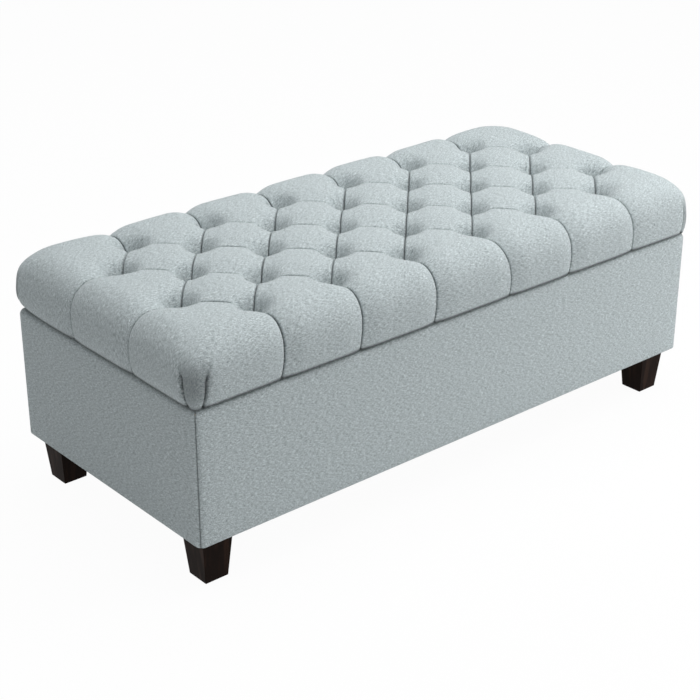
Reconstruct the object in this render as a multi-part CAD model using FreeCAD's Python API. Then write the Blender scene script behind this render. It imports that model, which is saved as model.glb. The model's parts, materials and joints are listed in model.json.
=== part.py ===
import FreeCAD, Part
import math
import os

# Upholstered storage bench with a tufted, hinged lid.  All lengths are in millimetres.
# +X runs along the bench, +Y points to the hinged back, +Z is up.
# The origin is on the floor, under the middle of the bench.

# ---------------------------------------------------------------- driving dimensions
BODY_LENGTH = 1206.0        # over the fabric of the lower box
BODY_DEPTH = 544.0
LEG_HEIGHT = 92.0           # floor to the underside of the box
BODY_TOP = 343.5            # top of the padded rim
LID_UNDERSIDE = 347.5       # underside of the lid's turned-in fabric
LID_CREST = 457.2           # highest point of the tufted puffs
LID_BULGE = 7.0             # how far the lid swells out past the box, each side

FABRIC = 1.2                # thickness of the outer upholstery fabric on the box
PADDING = 4.0               # thin foam between the fabric and the panels
PANEL = 15.0                # plywood side panels
RIM_PADDING = 3.3           # foam over the top edge of the panels
LINING = 1.0                # inner lining cloth
CORNER_RADIUS = 13.0        # upright corners of the box, over the fabric
RIM_RADIUS = 10.0           # outer top edge of the box, over the fabric
HEM_RADIUS = 3.0            # outer bottom edge of the box, over the fabric
FIT_GAP = 0.1               # clearance round rolled or curved soft layers
TURN_DOWN = 26.0            # fabric folded down inside the rim

FLOOR_PANEL = 12.0
BATTEN = 20.0
LEG_BLOCK = 90.0

LEG_TOP = 62.5              # square legs, tapered on all four sides
LEG_BOTTOM = 47.0
LEG_INSET = 19.0            # from the faces of the box to the top of the leg
LEG_EDGE = 1.2
GLIDE_RADIUS = 11.0
GLIDE_HEIGHT = 2.5
BOLT_RADIUS = 4.0           # hanger bolts, half in the leg and half in its tee nut
BOLT_IN_LEG = 38.0
NUT_RADIUS = 5.4
NUT_FLANGE_RADIUS = 10.0
NUT_FLANGE = 1.6
NUT_LENGTH = 12.0

TUFT_STEP_X = 84.3          # half the distance between tufts along a row
TUFT_STEP_Y = 88.2          # distance between rows
TUFT_SHIFT_X = 6.0          # the hand-laid tufting sits a little right of the middle
TUFT_SHIFT_Y = -5.0         # and a little nearer the front
TUFT_COLUMNS = 12           # the columns run from 0 to 12
TUFT_ROWS = (1, 2, 3, 4, 5)
TUFT_MIDDLE_COLUMN = 6
TUFT_MIDDLE_ROW = 3
LID_FABRIC = 1.6
LID_BOARD = 15.0
LID_BOARD_INSET = 9.0       # from the box outline to the edge of the lid board
LID_HEM = 45.0              # fabric turned in under the lid board
LID_LINING_INSET = 36.0

HINGE_LENGTH = 76.0
HINGE_X = 400.0
HINGE_LEAF = 1.5
HINGE_BARREL_RADIUS = 3.5
HINGE_PIN_RADIUS = 1.5
RUNNING_GAP = 0.05          # between a pin and the eye that turns on it

STAY_PLATE = 2.0
STAY_WIDTH = 16.0
STAY_RIVET_RADIUS = 3.0
STAY_PLAY = 0.5             # side play between the stay's flat links

# ---------------------------------------------------------------- worked-out dimensions
HALF_X = BODY_LENGTH / 2
HALF_Y = BODY_DEPTH / 2
PANEL_OUT_X = HALF_X - FABRIC - PADDING
PANEL_OUT_Y = HALF_Y - FABRIC - PADDING
PANEL_IN_X = PANEL_OUT_X - PANEL
PANEL_IN_Y = PANEL_OUT_Y - PANEL
PANEL_LOW = LEG_HEIGHT + FABRIC
PANEL_HIGH = BODY_TOP - FABRIC - RIM_PADDING
FLOOR_LOW = PANEL_LOW + BATTEN + 0.8
FLOOR_HIGH = FLOOR_LOW + FLOOR_PANEL
TURN_IN_X = PANEL_IN_X - FABRIC
TURN_IN_Y = PANEL_IN_Y - FABRIC
LINING_OUT_X = TURN_IN_X - 0.2
LINING_OUT_Y = TURN_IN_Y - 0.2
CAVITY_X = LINING_OUT_X - LINING
CAVITY_Y = LINING_OUT_Y - LINING

LEG_X = HALF_X - LEG_INSET - LEG_TOP / 2
LEG_Y = HALF_Y - LEG_INSET - LEG_TOP / 2

BOLT_LOW = LEG_HEIGHT - BOLT_IN_LEG
BOLT_HIGH = FLOOR_LOW - 1.0

LID_HALF_X = HALF_X + LID_BULGE
LID_HALF_Y = HALF_Y + LID_BULGE
HEM_TOP = LID_UNDERSIDE + 1.4
BOARD_LOW = HEM_TOP + 0.2
BOARD_HIGH = BOARD_LOW + LID_BOARD
BOARD_X = HALF_X - LID_BOARD_INSET
BOARD_Y = HALF_Y - LID_BOARD_INSET
LID_LINING_HIGH = LID_UNDERSIDE - 0.6
LID_LINING_LOW = LID_LINING_HIGH - 0.7

HINGE_Y = HALF_Y            # the hinge line is flush with the back of the box
HINGE_Z = (BODY_TOP + LID_UNDERSIDE) / 2

SIDES = (("left", -1), ("right", 1))
Vec = FreeCAD.Vector


# ---------------------------------------------------------------- small helpers
def block(x0, x1, y0, y1, z0, z1):
    """A box between two corners, given in any order."""
    size = (abs(x1 - x0), abs(y1 - y0), abs(z1 - z0))
    return Part.makeBox(*size, Vec(min(x0, x1), min(y0, y1), min(z0, z1)))


def slab(half_x, half_y, z0, z1):
    """A box centred on the upright axis."""
    return block(-half_x, half_x, -half_y, half_y, z0, z1)


def rod(radius, start, end):
    """A cylinder from one point to another."""
    along = end - start
    return Part.makeCylinder(radius, along.Length, start, along)


def fuse_all(solids):
    return solids[0].multiFuse(solids[1:]).removeSplitter()


def near(shape, tools):
    """The tools whose boxes reach the shape's box."""
    return [t for t in tools if t.BoundBox.intersect(shape.BoundBox)]


def save(name, shape):
    """Writes one node, and says what it holds."""
    shape.exportStep(os.path.join("parts", name + ".step"))
    solids = shape.Solids
    volume = sum(s.Volume for s in solids) / 1000.0
    valid = all(s.isValid() for s in solids)
    print(f"{name:28s} solids {len(solids):3d}  volume {volume:10.2f} cm3  valid {valid}")


# ---------------------------------------------------------------- the box
def rounded_body(inset, z0, z1):
    """The outer form of the box, all round its padding, moved in by an inset."""
    form = slab(HALF_X - inset, HALF_Y - inset, z0, z1)
    upright = [e for e in form.Edges if abs(e.tangentAt(e.FirstParameter).z) > 0.9]
    form = form.makeFillet(CORNER_RADIUS - inset, upright)
    top = [e for e in form.Edges if e.BoundBox.ZMin > z1 - 0.01]
    form = form.makeFillet(RIM_RADIUS - inset, top)
    low = [e for e in form.Edges if e.BoundBox.ZMax < z0 + 0.01]
    return form.makeFillet(max(HEM_RADIUS - inset, 0.5), low)


def ring(outer_x, outer_y, inner_x, inner_y, z0, z1):
    """A rectangular tube."""
    return slab(outer_x, outer_y, z0, z1).cut(slab(inner_x, inner_y, z0 - 1, z1 + 1))


def body_covers():
    """The four fabric panels of the box, joined at seams that run down the corners."""
    skin = rounded_body(0.0, LEG_HEIGHT, BODY_TOP)
    skin = skin.cut(rounded_body(FABRIC, LEG_HEIGHT + FABRIC, BODY_TOP - FABRIC))
    skin = skin.cut(slab(TURN_IN_X, TURN_IN_Y, LEG_HEIGHT - 5, BODY_TOP + 5))
    fold_low = BODY_TOP - TURN_DOWN
    fold_high = BODY_TOP - FABRIC
    fold = ring(PANEL_IN_X, PANEL_IN_Y, TURN_IN_X, TURN_IN_Y, fold_low, fold_high)
    skin = fuse_all([skin, fold])
    far_x = HALF_X + 1
    far_y = HALF_Y + 1
    ridge = far_x - far_y
    corners = {
        "front": [(-far_x, -far_y), (far_x, -far_y), (ridge, 0), (-ridge, 0)],
        "back": [(far_x, far_y), (-far_x, far_y), (-ridge, 0), (ridge, 0)],
        "left_end": [(-far_x, far_y), (-far_x, -far_y), (-ridge, 0)],
        "right_end": [(far_x, -far_y), (far_x, far_y), (ridge, 0)],
    }
    return {name: skin.common(prism(points)) for name, points in corners.items()}


def prism(points):
    """An upright prism taller than the box, over a polygon seen from above."""
    loop = [Vec(x, y, 0) for x, y in points]
    face = Part.Face(Part.makePolygon(loop + loop[:1]))
    return face.extrude(Vec(0, 0, BODY_TOP + 50))


def box_padding():
    """The thin foam wrapped round the panels and over their top edge."""
    inset = FABRIC + FIT_GAP
    foam = rounded_body(inset, LEG_HEIGHT + inset, BODY_TOP - inset)
    foam = foam.cut(slab(PANEL_OUT_X, PANEL_OUT_Y, 0, PANEL_HIGH))
    return foam.cut(slab(PANEL_IN_X, PANEL_IN_Y, 0, BODY_TOP + 5))


def side_panels():
    """The long panels cover the ends of the short ones."""
    z = (PANEL_LOW, PANEL_HIGH)
    return {
        "front_panel": block(-PANEL_OUT_X, PANEL_OUT_X, -PANEL_OUT_Y, -PANEL_IN_Y, *z),
        "back_panel": block(-PANEL_OUT_X, PANEL_OUT_X, PANEL_IN_Y, PANEL_OUT_Y, *z),
        "left_end_panel": block(-PANEL_OUT_X, -PANEL_IN_X, -PANEL_IN_Y, PANEL_IN_Y, *z),
        "right_end_panel": block(PANEL_IN_X, PANEL_OUT_X, -PANEL_IN_Y, PANEL_IN_Y, *z),
    }


def screw(head, direction, length, radius=1.75, head_radius=3.6, head_height=2.2):
    """A countersunk wood screw with a pointed tip, from the face of its head."""
    along = Vec(direction).normalize()
    cone = Part.makeCone(head_radius, radius, head_height, head, along)
    shank = rod(radius, head + along * head_height, head + along * (length - 4))
    tip = Part.makeCone(radius, 0.3, 4.0, head + along * (length - 4), along)
    return fuse_all([cone, shank, tip])


def panel_screws():
    """Three screws at each upright corner, through the long panels into the short ones."""
    x = (PANEL_OUT_X + PANEL_IN_X) / 2
    heights = (PANEL_LOW + 35, (PANEL_LOW + PANEL_HIGH) / 2, PANEL_HIGH - 35)
    return [
        screw(Vec(side * x, face * PANEL_OUT_Y, z), Vec(0, -face, 0), 45.0, 2.0, 4.0)
        for side in (-1, 1)
        for face in (-1, 1)
        for z in heights
    ]


def floor_screws():
    """Screws down through the floor panel into the battens under it."""
    y_long = PANEL_IN_Y - BATTEN / 2
    places = [(x, side * y_long) for x in (-400, -200, 0, 200, 400) for side in (-1, 1)]
    places += [(0, y) for y in (-130, -45, 45, 130)]
    return [screw(Vec(x, y, FLOOR_HIGH), Vec(0, 0, -1), 28.0) for x, y in places]


def floor_battens():
    """Two long battens against the panels and one across the middle."""
    reach = PANEL_IN_X - LEG_BLOCK
    z = (PANEL_LOW, FLOOR_LOW)
    inner = PANEL_IN_Y - BATTEN
    return {
        "floor_batten_front": block(-reach, reach, -PANEL_IN_Y, -inner, *z),
        "floor_batten_back": block(-reach, reach, inner, PANEL_IN_Y, *z),
        "floor_batten_middle": block(-BATTEN, BATTEN, -inner, inner, *z),
    }


# ---------------------------------------------------------------- the legs
def corner_names():
    """Name, side along X and side along Y of each corner."""
    return [
        ("front_left", -1, -1),
        ("front_right", 1, -1),
        ("back_left", -1, 1),
        ("back_right", 1, 1),
    ]


def square(x, y, z, width):
    half = width / 2
    points = [(-half, -half), (half, -half), (half, half), (-half, half)]
    loop = [Vec(x + a, y + b, z) for a, b in points]
    return Part.makePolygon(loop + loop[:1])


def leg(x, y):
    """A square leg that narrows downwards, with eased edges and a hole for its bolt."""
    body = Part.makeLoft(
        [square(x, y, GLIDE_HEIGHT, LEG_BOTTOM), square(x, y, LEG_HEIGHT, LEG_TOP)], True, True
    )
    eased = [e for e in body.Edges if e.BoundBox.ZMin < LEG_HEIGHT - 1]
    body = body.makeFillet(LEG_EDGE, eased)
    return body.cut(rod(BOLT_RADIUS + RUNNING_GAP, Vec(x, y, BOLT_LOW), Vec(x, y, LEG_HEIGHT + 1)))


def hanger_bolt(x, y):
    """The double-ended bolt that screws into the leg below and its nut above."""
    return rod(BOLT_RADIUS, Vec(x, y, BOLT_LOW + 0.5), Vec(x, y, BOLT_HIGH))


def tee_nut(x, y, grow=0.0):
    """A flanged nut let into the top of the leg block."""
    flange_low = FLOOR_LOW - NUT_FLANGE
    barrel = rod(NUT_RADIUS + grow, Vec(x, y, FLOOR_LOW - NUT_LENGTH - grow), Vec(x, y, FLOOR_LOW))
    flange = rod(NUT_FLANGE_RADIUS + grow, Vec(x, y, flange_low - grow), Vec(x, y, FLOOR_LOW))
    return fuse_all([barrel, flange])


def leg_block(side_x, side_y):
    """A hardwood block in the corner under the floor panel."""
    x = side_x * PANEL_IN_X
    y = side_y * PANEL_IN_Y
    body = block(x, x - side_x * LEG_BLOCK, y, y - side_y * LEG_BLOCK, PANEL_LOW, FLOOR_LOW)
    at_x = side_x * LEG_X
    at_y = side_y * LEG_Y
    body = body.cut(tee_nut(at_x, at_y, RUNNING_GAP))
    low = Vec(at_x, at_y, PANEL_LOW - 1)
    return body.cut(rod(BOLT_RADIUS + 0.5, low, Vec(at_x, at_y, FLOOR_LOW)))


def legs_and_hardware():
    """All four legs with their blocks, and the groups of bolts, nuts and glides."""
    nodes = {}
    bolts = []
    nuts = []
    glides = []
    for name, side_x, side_y in corner_names():
        x = side_x * LEG_X
        y = side_y * LEG_Y
        nodes["leg_" + name] = leg(x, y)
        nodes["leg_block_" + name] = leg_block(side_x, side_y)
        bolt_hole = rod(BOLT_RADIUS + RUNNING_GAP, Vec(x, y, 0), Vec(x, y, FLOOR_HIGH))
        bolts.append(hanger_bolt(x, y))
        nuts.append(tee_nut(x, y).cut(bolt_hole))
        glides.append(rod(GLIDE_RADIUS, Vec(x, y, 0), Vec(x, y, GLIDE_HEIGHT)))
    nodes["leg_hanger_bolts"] = Part.makeCompound(bolts)
    nodes["leg_tee_nuts"] = Part.makeCompound(nuts)
    nodes["leg_glides"] = Part.makeCompound(glides)
    return nodes


# ---------------------------------------------------------------- staples
STAPLE_CROWN = 10.0
STAPLE_WIRE = 1.0
STAPLE_LEG = 8.0
STAPLE_REACH_X = 500.0      # how far from the middle the last staple of a side may be
STAPLE_REACH_Y = 165.0
STAPLE_SPACING = 85.0


def staple(x, y, z, along_x):
    """A wire staple driven upwards, with its crown just below the height z."""
    half = STAPLE_CROWN / 2
    wire = STAPLE_WIRE / 2
    reach = (half, wire) if along_x else (wire, half)
    crown = block(x - reach[0], x + reach[0], y - reach[1], y + reach[1], z - 0.5, z)
    prongs = []
    for end in (-1, 1):
        px = x + end * (half - wire) * along_x
        py = y + end * (half - wire) * (not along_x)
        prongs.append(block(px - wire, px + wire, py - wire, py + wire, z - 0.5, z + STAPLE_LEG))
    return fuse_all([crown] + prongs)


def spaced(reach, spacing, shifted):
    """Even places along a line, or the places half way between them."""
    count = int(2 * reach / spacing)
    step = 2 * reach / count
    first = -reach + shifted * step / 2
    return [first + n * step for n in range(count + 1 - shifted)]


def staple_ring(half_x, half_y, z, shifted=0):
    """Staples round a rectangle, kept off its corners."""
    made = []
    for x in spaced(STAPLE_REACH_X, STAPLE_SPACING, shifted):
        made += [staple(x, side * half_y, z, True) for side in (-1, 1)]
    for y in spaced(STAPLE_REACH_Y, STAPLE_SPACING, shifted):
        made += [staple(side * half_x, y, z, False) for side in (-1, 1)]
    return made


# ---------------------------------------------------------------- the tufted lid
def tufts():
    """Where the tufts sit: rows are staggered, so their columns alternate odd and even."""
    return [
        (column, row)
        for row in TUFT_ROWS
        for column in range(TUFT_COLUMNS + 1)
        if (column + row) % 2 == 0
    ]


def tuft_xy(column, row):
    """The middle of a tuft, seen from above."""
    x = (column - TUFT_MIDDLE_COLUMN) * TUFT_STEP_X + TUFT_SHIFT_X
    return x, (row - TUFT_MIDDLE_ROW) * TUFT_STEP_Y + TUFT_SHIFT_Y


def diagonal_pleats():
    """Start and end of each straight run of diagonal pleats through neighbouring tufts."""
    places = tufts()
    runs = []
    for step in (-1, 1):
        for column, row in places:
            if (column - step, row - 1) in places:
                continue
            last = (column, row)
            while (last[0] + step, last[1] + 1) in places:
                last = (last[0] + step, last[1] + 1)
            if last != (column, row):
                runs.append((tuft_xy(column, row), tuft_xy(*last)))
    return runs


# The lid's side swells from its foot to its widest line, in flat facets between these
# heights, then stands upright to where the shoulder's curve springs.
SIDE_FOOT_DROP = 12.0         # keeps the foot clear of the hinge barrels
SIDE_WIDEST = LID_UNDERSIDE + 40.0
SIDE_LEVELS = tuple(LID_UNDERSIDE + rise for rise in (-5.0, 6.0, 17.0, 28.0)) + (SIDE_WIDEST,)
SHOULDER_RADIUS = 50.0
SHOULDER_Z = LID_CREST - SHOULDER_RADIUS


def swell(z):
    """How far the lid's side stands out from the box outline at a height."""
    def curve(level):
        share = (SIDE_WIDEST - level) / (SIDE_WIDEST - LID_UNDERSIDE)
        return LID_BULGE - SIDE_FOOT_DROP * share * share

    if z >= SIDE_WIDEST:
        return LID_BULGE
    upper = next(n for n, level in enumerate(SIDE_LEVELS) if level > z)
    low, high = SIDE_LEVELS[upper - 1], SIDE_LEVELS[upper]
    return curve(low) + (curve(high) - curve(low)) * (z - low) / (high - low)


# depth of the fabric at growing distances from the middle of a fold
WELL_SHAPE = ((0.0, 36.0), (3.2, 36.0), (6.0, 27.0), (12.0, 15.0), (24.0, 6.0), (41.0, 0.0))
PLEAT_SHAPE = ((0.0, 12.0), (4.0, 8.0), (15.0, 3.4), (40.0, 0.0))
EDGE_SHAPE = ((0.0, 7.0), (3.0, 4.6), (10.0, 2.0), (26.0, 0.0))
FOOT_SHARE = 0.2            # how much of an edge pleat's depth is left at the foot of the side
LID_PLAN_RADIUS = 30.0


def lid_section(half, inset, low):
    """The lid's section across one direction: runs of points, with three for an arc."""
    out = half - inset
    crest = LID_CREST - inset
    radius = SHOULDER_RADIUS - inset
    turn = radius * math.sqrt(0.5)
    levels = [low] + [z for z in SIDE_LEVELS if z > low] + [SHOULDER_Z]
    right = [((out + swell(a), a), (out + swell(b), b)) for a, b in zip(levels, levels[1:])]
    centre = out + LID_BULGE - radius
    middle = (centre + turn, SHOULDER_Z + turn)
    right.append(((out + LID_BULGE, SHOULDER_Z), middle, (centre, crest)))
    left = [tuple((-x, z) for x, z in reversed(run)) for run in reversed(right)]
    flat_top = (right[-1][-1], left[0][0])
    base = (left[-1][-1], right[0][0])
    return right + [flat_top] + left + [base]


def lid_slab(half, inset, low, along_x):
    """The section of the lid drawn out straight along the other direction."""
    reach = LID_HALF_X + LID_HALF_Y

    def at(point):
        return Vec(-reach, point[0], point[1]) if along_x else Vec(point[0], -reach, point[1])

    edges = []
    for points in lid_section(half, inset, low):
        ends = [at(p) for p in points]
        curve = Part.Arc(*ends) if len(ends) == 3 else Part.LineSegment(*ends)
        edges.append(curve.toShape())
    face = Part.Face(Part.Wire(edges))
    return face.extrude(Vec(2 * reach, 0, 0) if along_x else Vec(0, 2 * reach, 0))


def plan_block(inset):
    """The lid's outline from above, with round corners."""
    form = slab(LID_HALF_X - inset, LID_HALF_Y - inset, LID_UNDERSIDE - 10, LID_CREST + 10)
    upright = [e for e in form.Edges if abs(e.tangentAt(e.FirstParameter).z) > 0.9]
    return form.makeFillet(LID_PLAN_RADIUS - inset, upright)


def fold_outline(shape, above):
    """The cutter's section for a fold: its shape on both sides, closed well above it."""
    right = [(d, -depth) for d, depth in shape]
    left = [(-d, z) for d, z in reversed(right[1:])]
    return [(-shape[-1][0], above)] + left + right + [(shape[-1][0], above)]


def face_of(points):
    return Part.Face(Part.makePolygon(points + points[:1]))


def pleat_cutter(start, end, top):
    """A groove along a straight pleat on the top."""
    begin = Vec(start[0], start[1], top)
    along = Vec(end[0], end[1], top) - begin
    sideways = Vec(-along.y, along.x, 0).normalize()
    section = [begin + sideways * d + Vec(0, 0, z) for d, z in fold_outline(PLEAT_SHAPE, 5.0)]
    return face_of(section).extrude(along)


def well_cutter(x, y, top):
    """The funnel that a tuft pulls into the top."""
    outline = [(d, -depth) for d, depth in WELL_SHAPE]
    points = [Vec(x, y, top + 5.0)] + [Vec(x + d, y, top + z) for d, z in outline]
    points.append(Vec(x + WELL_SHAPE[-1][0], y, top + 5.0))
    return face_of(points).revolve(Vec(x, y, 0), Vec(0, 0, 1), 360)


def edge_pleat_cutters(x, y, inset, outward):
    """A pleat from an outer tuft to the shoulder, round it and down the side."""
    sideways = Vec(-outward.y, outward.x, 0)
    reach = abs(outward.x) * LID_HALF_X + abs(outward.y) * LID_HALF_Y - inset
    radius = SHOULDER_RADIUS - inset
    tuft = Vec(x, y, 0) - outward * Vec(x, y, 0).dot(outward)
    centre = tuft + outward * (reach - radius) + Vec(0, 0, SHOULDER_Z)
    outline = fold_outline(EDGE_SHAPE, 5.0)
    up = Vec(0, 0, 1)
    crest = [centre + sideways * d + up * (radius + z) for d, z in outline]
    start = Vec(x, y, 0).dot(outward)
    flat = face_of(crest).extrude(outward * (start - (reach - radius)))
    bend = face_of(crest).revolve(centre, outward.cross(up) * -1, 90)
    solids = [flat, bend]
    levels = SIDE_LEVELS + (SHOULDER_Z,)
    rings = []
    for z in levels:
        share = FOOT_SHARE + (1 - FOOT_SHARE) * (z - levels[0]) / (levels[-1] - levels[0])
        outline = fold_outline([(d, depth * share) for d, depth in EDGE_SHAPE], 12.0)
        base = centre + up * (z - SHOULDER_Z) + outward * (radius + swell(z) - LID_BULGE)
        points = [base + sideways * d + outward * out for d, out in outline]
        rings.append(Part.makePolygon(points + points[:1]))
    solids += [Part.makeLoft([low, high], True, True) for low, high in zip(rings, rings[1:])]
    return solids


def lid_form(inset, low):
    """The tufted cushion's outer form, moved in by an inset, with a flat underside."""
    form = lid_slab(HALF_Y, inset, low, True).common(lid_slab(HALF_X, inset, low, False))
    form = form.common(plan_block(inset))
    top = LID_CREST - inset
    cutters = [pleat_cutter(start, end, top) for start, end in diagonal_pleats()]
    for column, row in tufts():
        x, y = tuft_xy(column, row)
        cutters.append(well_cutter(x, y, top))
        if row in (TUFT_ROWS[0], TUFT_ROWS[-1]):
            cutters += edge_pleat_cutters(x, y, inset, Vec(0, math.copysign(1, y), 0))
        if column in (0, TUFT_COLUMNS):
            cutters += edge_pleat_cutters(x, y, inset, Vec(math.copysign(1, x), 0, 0))
    return form.cut(cutters)


def lid_cover():
    """The tufted fabric, turned in under the board."""
    skin = lid_form(0.0, LID_UNDERSIDE).cut(lid_form(LID_FABRIC, HEM_TOP))
    return skin.cut(slab(HALF_X - LID_HEM, HALF_Y - LID_HEM, LID_UNDERSIDE - 5, HEM_TOP + 0.1))


def lid_foam():
    """The foam between the board and the fabric, wrapped down round the board's edge."""
    foam = lid_form(LID_FABRIC + FIT_GAP, BOARD_LOW)
    return foam.cut(slab(BOARD_X, BOARD_Y, LID_UNDERSIDE, BOARD_HIGH))


TWINE_RADIUS = 0.8
TWINE_HOLE = 1.0
TWINE_KNOT = 2.5
WASHER_RADIUS = 9.0
TWINE_LOW = LID_LINING_HIGH + 0.2
WELL_FLOOR = LID_CREST - WELL_SHAPE[0][1]


def twine(x, y):
    """The twine that holds a tuft down, knotted over the fabric and under the board."""
    thread = rod(TWINE_RADIUS, Vec(x, y, TWINE_LOW), Vec(x, y, WELL_FLOOR + 0.1))
    upper = rod(TWINE_KNOT, Vec(x, y, WELL_FLOOR + 0.1), Vec(x, y, WELL_FLOOR + 1.9))
    lower = rod(TWINE_KNOT, Vec(x, y, TWINE_LOW), Vec(x, y, TWINE_LOW + 0.6))
    return fuse_all([thread, upper, lower])


def washer(x, y):
    """The flat washer that spreads the pull of a twine under the board."""
    disc = rod(WASHER_RADIUS, Vec(x, y, TWINE_LOW + 0.7), Vec(x, y, BOARD_LOW - 0.1))
    return disc.cut(rod(TWINE_HOLE, Vec(x, y, TWINE_LOW), Vec(x, y, BOARD_LOW)))


def twine_holes():
    places = [tuft_xy(*t) for t in tufts()]
    return [rod(TWINE_HOLE, Vec(x, y, LID_UNDERSIDE), Vec(x, y, LID_CREST)) for x, y in places]


def lid_staples():
    """Staples through the turned-in fabric, and others between them through the lining."""
    hem = (HALF_X - LID_HEM + 4, HALF_Y - LID_HEM + 4)
    edge = (hem[0] + 2.6, hem[1] + 2.6)
    made = staple_ring(*hem, LID_UNDERSIDE)
    made += staple_ring(*edge, LID_LINING_LOW, 1)
    return [s for s in made if not over_bracket(s.BoundBox.Center)]


def over_bracket(point):
    """Is a point where a stay's bracket lies on the lid?"""
    return abs(point.x) > BRACKET_IN - 5 and abs(point.y - STAY_LID_Y) < BRACKET_HALF + 8


BUMPER_RADIUS = 6.0
BUMPER_X = (-560.0, -190.0, 190.0, 560.0)
BUMPER_Y = 15.0 - HALF_Y


def lid_bumpers():
    low = BODY_TOP + 0.2
    return [
        rod(BUMPER_RADIUS, Vec(x, BUMPER_Y, low), Vec(x, BUMPER_Y, LID_UNDERSIDE)) for x in BUMPER_X
    ]


# ---------------------------------------------------------------- the hinges
KNUCKLES = 5
KNUCKLE_GAP = 0.4
BARREL_CLEAR = 4.0          # how near a flat leaf comes to the hinge line
BOX_LEAF_Y = HINGE_Y - 19.0     # the inner edge of each leaf
LID_LEAF_Y = HINGE_Y - 33.0
BOX_SCREW_Y = HINGE_Y - 12.7
LID_SCREW_Y = HINGE_Y - 23.0
SCREW_SPREAD = 25.0


def knuckle_span(middle, number):
    """Start and end of one of the hinge's knuckles along X."""
    pitch = (HINGE_LENGTH + KNUCKLE_GAP) / KNUCKLES
    start = middle - HINGE_LENGTH / 2 + number * pitch
    return start, start + pitch - KNUCKLE_GAP


def hinge_leaf(middle, inner_y, z0, numbers):
    """A flat leaf with the knuckles of its own that curl round the pin."""
    half = HINGE_LENGTH / 2
    z1 = z0 + HINGE_LEAF
    solids = [block(middle - half, middle + half, inner_y, HINGE_Y - BARREL_CLEAR, z0, z1)]
    for number in numbers:
        start, end = knuckle_span(middle, number)
        ends = (Vec(start, HINGE_Y, HINGE_Z), Vec(end, HINGE_Y, HINGE_Z))
        solids.append(rod(HINGE_BARREL_RADIUS, *ends))
        solids.append(block(start, end, HINGE_Y - BARREL_CLEAR, HINGE_Y, z0, z1))
    bore = (Vec(middle - half - 1, HINGE_Y, HINGE_Z), Vec(middle + half + 1, HINGE_Y, HINGE_Z))
    return fuse_all(solids).cut(rod(HINGE_PIN_RADIUS + RUNNING_GAP, *bore))


def hinge_pin(middle):
    half = HINGE_LENGTH / 2
    ends = (Vec(middle - half, HINGE_Y, HINGE_Z), Vec(middle + half, HINGE_Y, HINGE_Z))
    return rod(HINGE_PIN_RADIUS, *ends)


def hinge_screws(y, z, direction, length):
    """Three screws in a leaf of each hinge."""
    return [
        screw(Vec(side * HINGE_X + offset, y, z), direction, length, 1.5, 3.0, 1.5)
        for _, side in SIDES
        for offset in (-SCREW_SPREAD, 0, SCREW_SPREAD)
    ]


# ---------------------------------------------------------------- the lid stays
# Each stay is two flat links.  Its four pivots, with the hinge line as the first, are the
# corners of a parallelogram, so the lower link turns exactly as the lid does.
STAY_BOX_PIVOT = (35.0, -100.0)     # forward of the hinge line, and above it
STAY_LID_PIVOT = (150.0, -12.0)
RIVET_HEAD_RADIUS = 5.0
RIVET_HEAD = 1.2
BRACKET_HALF = 16.0
BRACKET_REACH = 30.0


def stay_point(offset):
    return Vec(0, HINGE_Y - offset[0], HINGE_Z + offset[1])


STAY_LID_Y = stay_point(STAY_LID_PIVOT).y
BRACKET_IN = CAVITY_X - 3 * (STAY_PLATE + STAY_PLAY) - STAY_PLATE - BRACKET_REACH


def across(point, side, layer, thick=STAY_PLATE, grow=0.0):
    """Two points through the stay's layers of plate, counted inwards from the lining."""
    outer = CAVITY_X - layer * (STAY_PLATE + STAY_PLAY) + grow
    return Vec(side * outer, point.y, point.z), Vec(side * (outer - thick - 2 * grow), point.y, point.z)


def eye(point, side, layer):
    """The hole that a rivet turns in."""
    return rod(STAY_RIVET_RADIUS + RUNNING_GAP, *across(point, side, layer, STAY_PLATE, 0.2))


def flat_link(start, end, side, layer):
    """A flat bar with round ends and a rivet hole at each."""
    half = STAY_WIDTH / 2
    along = (end - start).normalize()
    wide = Vec(0, -along.z, along.y) * half
    x = across(start, side, layer)[1].x
    corners = [start + wide, end + wide, end - wide, start - wide]
    low = min(x, across(start, side, layer)[0].x)
    bar = face_of([Vec(low, p.y, p.z) for p in corners]).extrude(Vec(STAY_PLATE, 0, 0))
    ends = [rod(half, *across(p, side, layer)) for p in (start, end)]
    return fuse_all([bar] + ends).cut([eye(start, side, layer), eye(end, side, layer)])


def rivet(point, side, first, last, outer_head):
    """A rivet through the layers from first to last, with a head inside and maybe outside."""
    start = across(point, side, first, grow=-0.1 if not outer_head else 0.1)[0]
    end = across(point, side, last, grow=0.2)[1]
    inward = (end - start).normalize()
    solids = [rod(STAY_RIVET_RADIUS, start, end)]
    solids.append(rod(RIVET_HEAD_RADIUS, end, end + inward * RIVET_HEAD))
    if outer_head:
        solids.append(rod(RIVET_HEAD_RADIUS, start - inward * RIVET_HEAD, start))
    return fuse_all(solids)


def box_bracket(side):
    """A plate on the inside of the end panel that carries the lower link."""
    pivot = stay_point(STAY_BOX_PIVOT)
    outer, inner = across(pivot, side, 0)
    y = (pivot.y - 11, pivot.y + 11)
    plate = block(outer.x, inner.x, *y, pivot.z - 29, pivot.z + 29)
    return plate.cut(eye(pivot, side, 0))


def lid_bracket(side):
    """An angle under the lid with an ear that carries the upper link."""
    pivot = stay_point(STAY_LID_PIVOT)
    outer, inner = across(pivot, side, 3)
    top = LID_LINING_LOW
    ear = block(outer.x, inner.x, pivot.y - 10, pivot.y + 10, pivot.z, top)
    tip = rod(10.0, outer, inner)
    reach = inner.x - side * BRACKET_REACH
    y = (pivot.y - BRACKET_HALF, pivot.y + BRACKET_HALF)
    flange = block(outer.x, reach, *y, top - STAY_PLATE, top)
    return fuse_all([ear, tip, flange]).cut(eye(pivot, side, 3))


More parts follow.
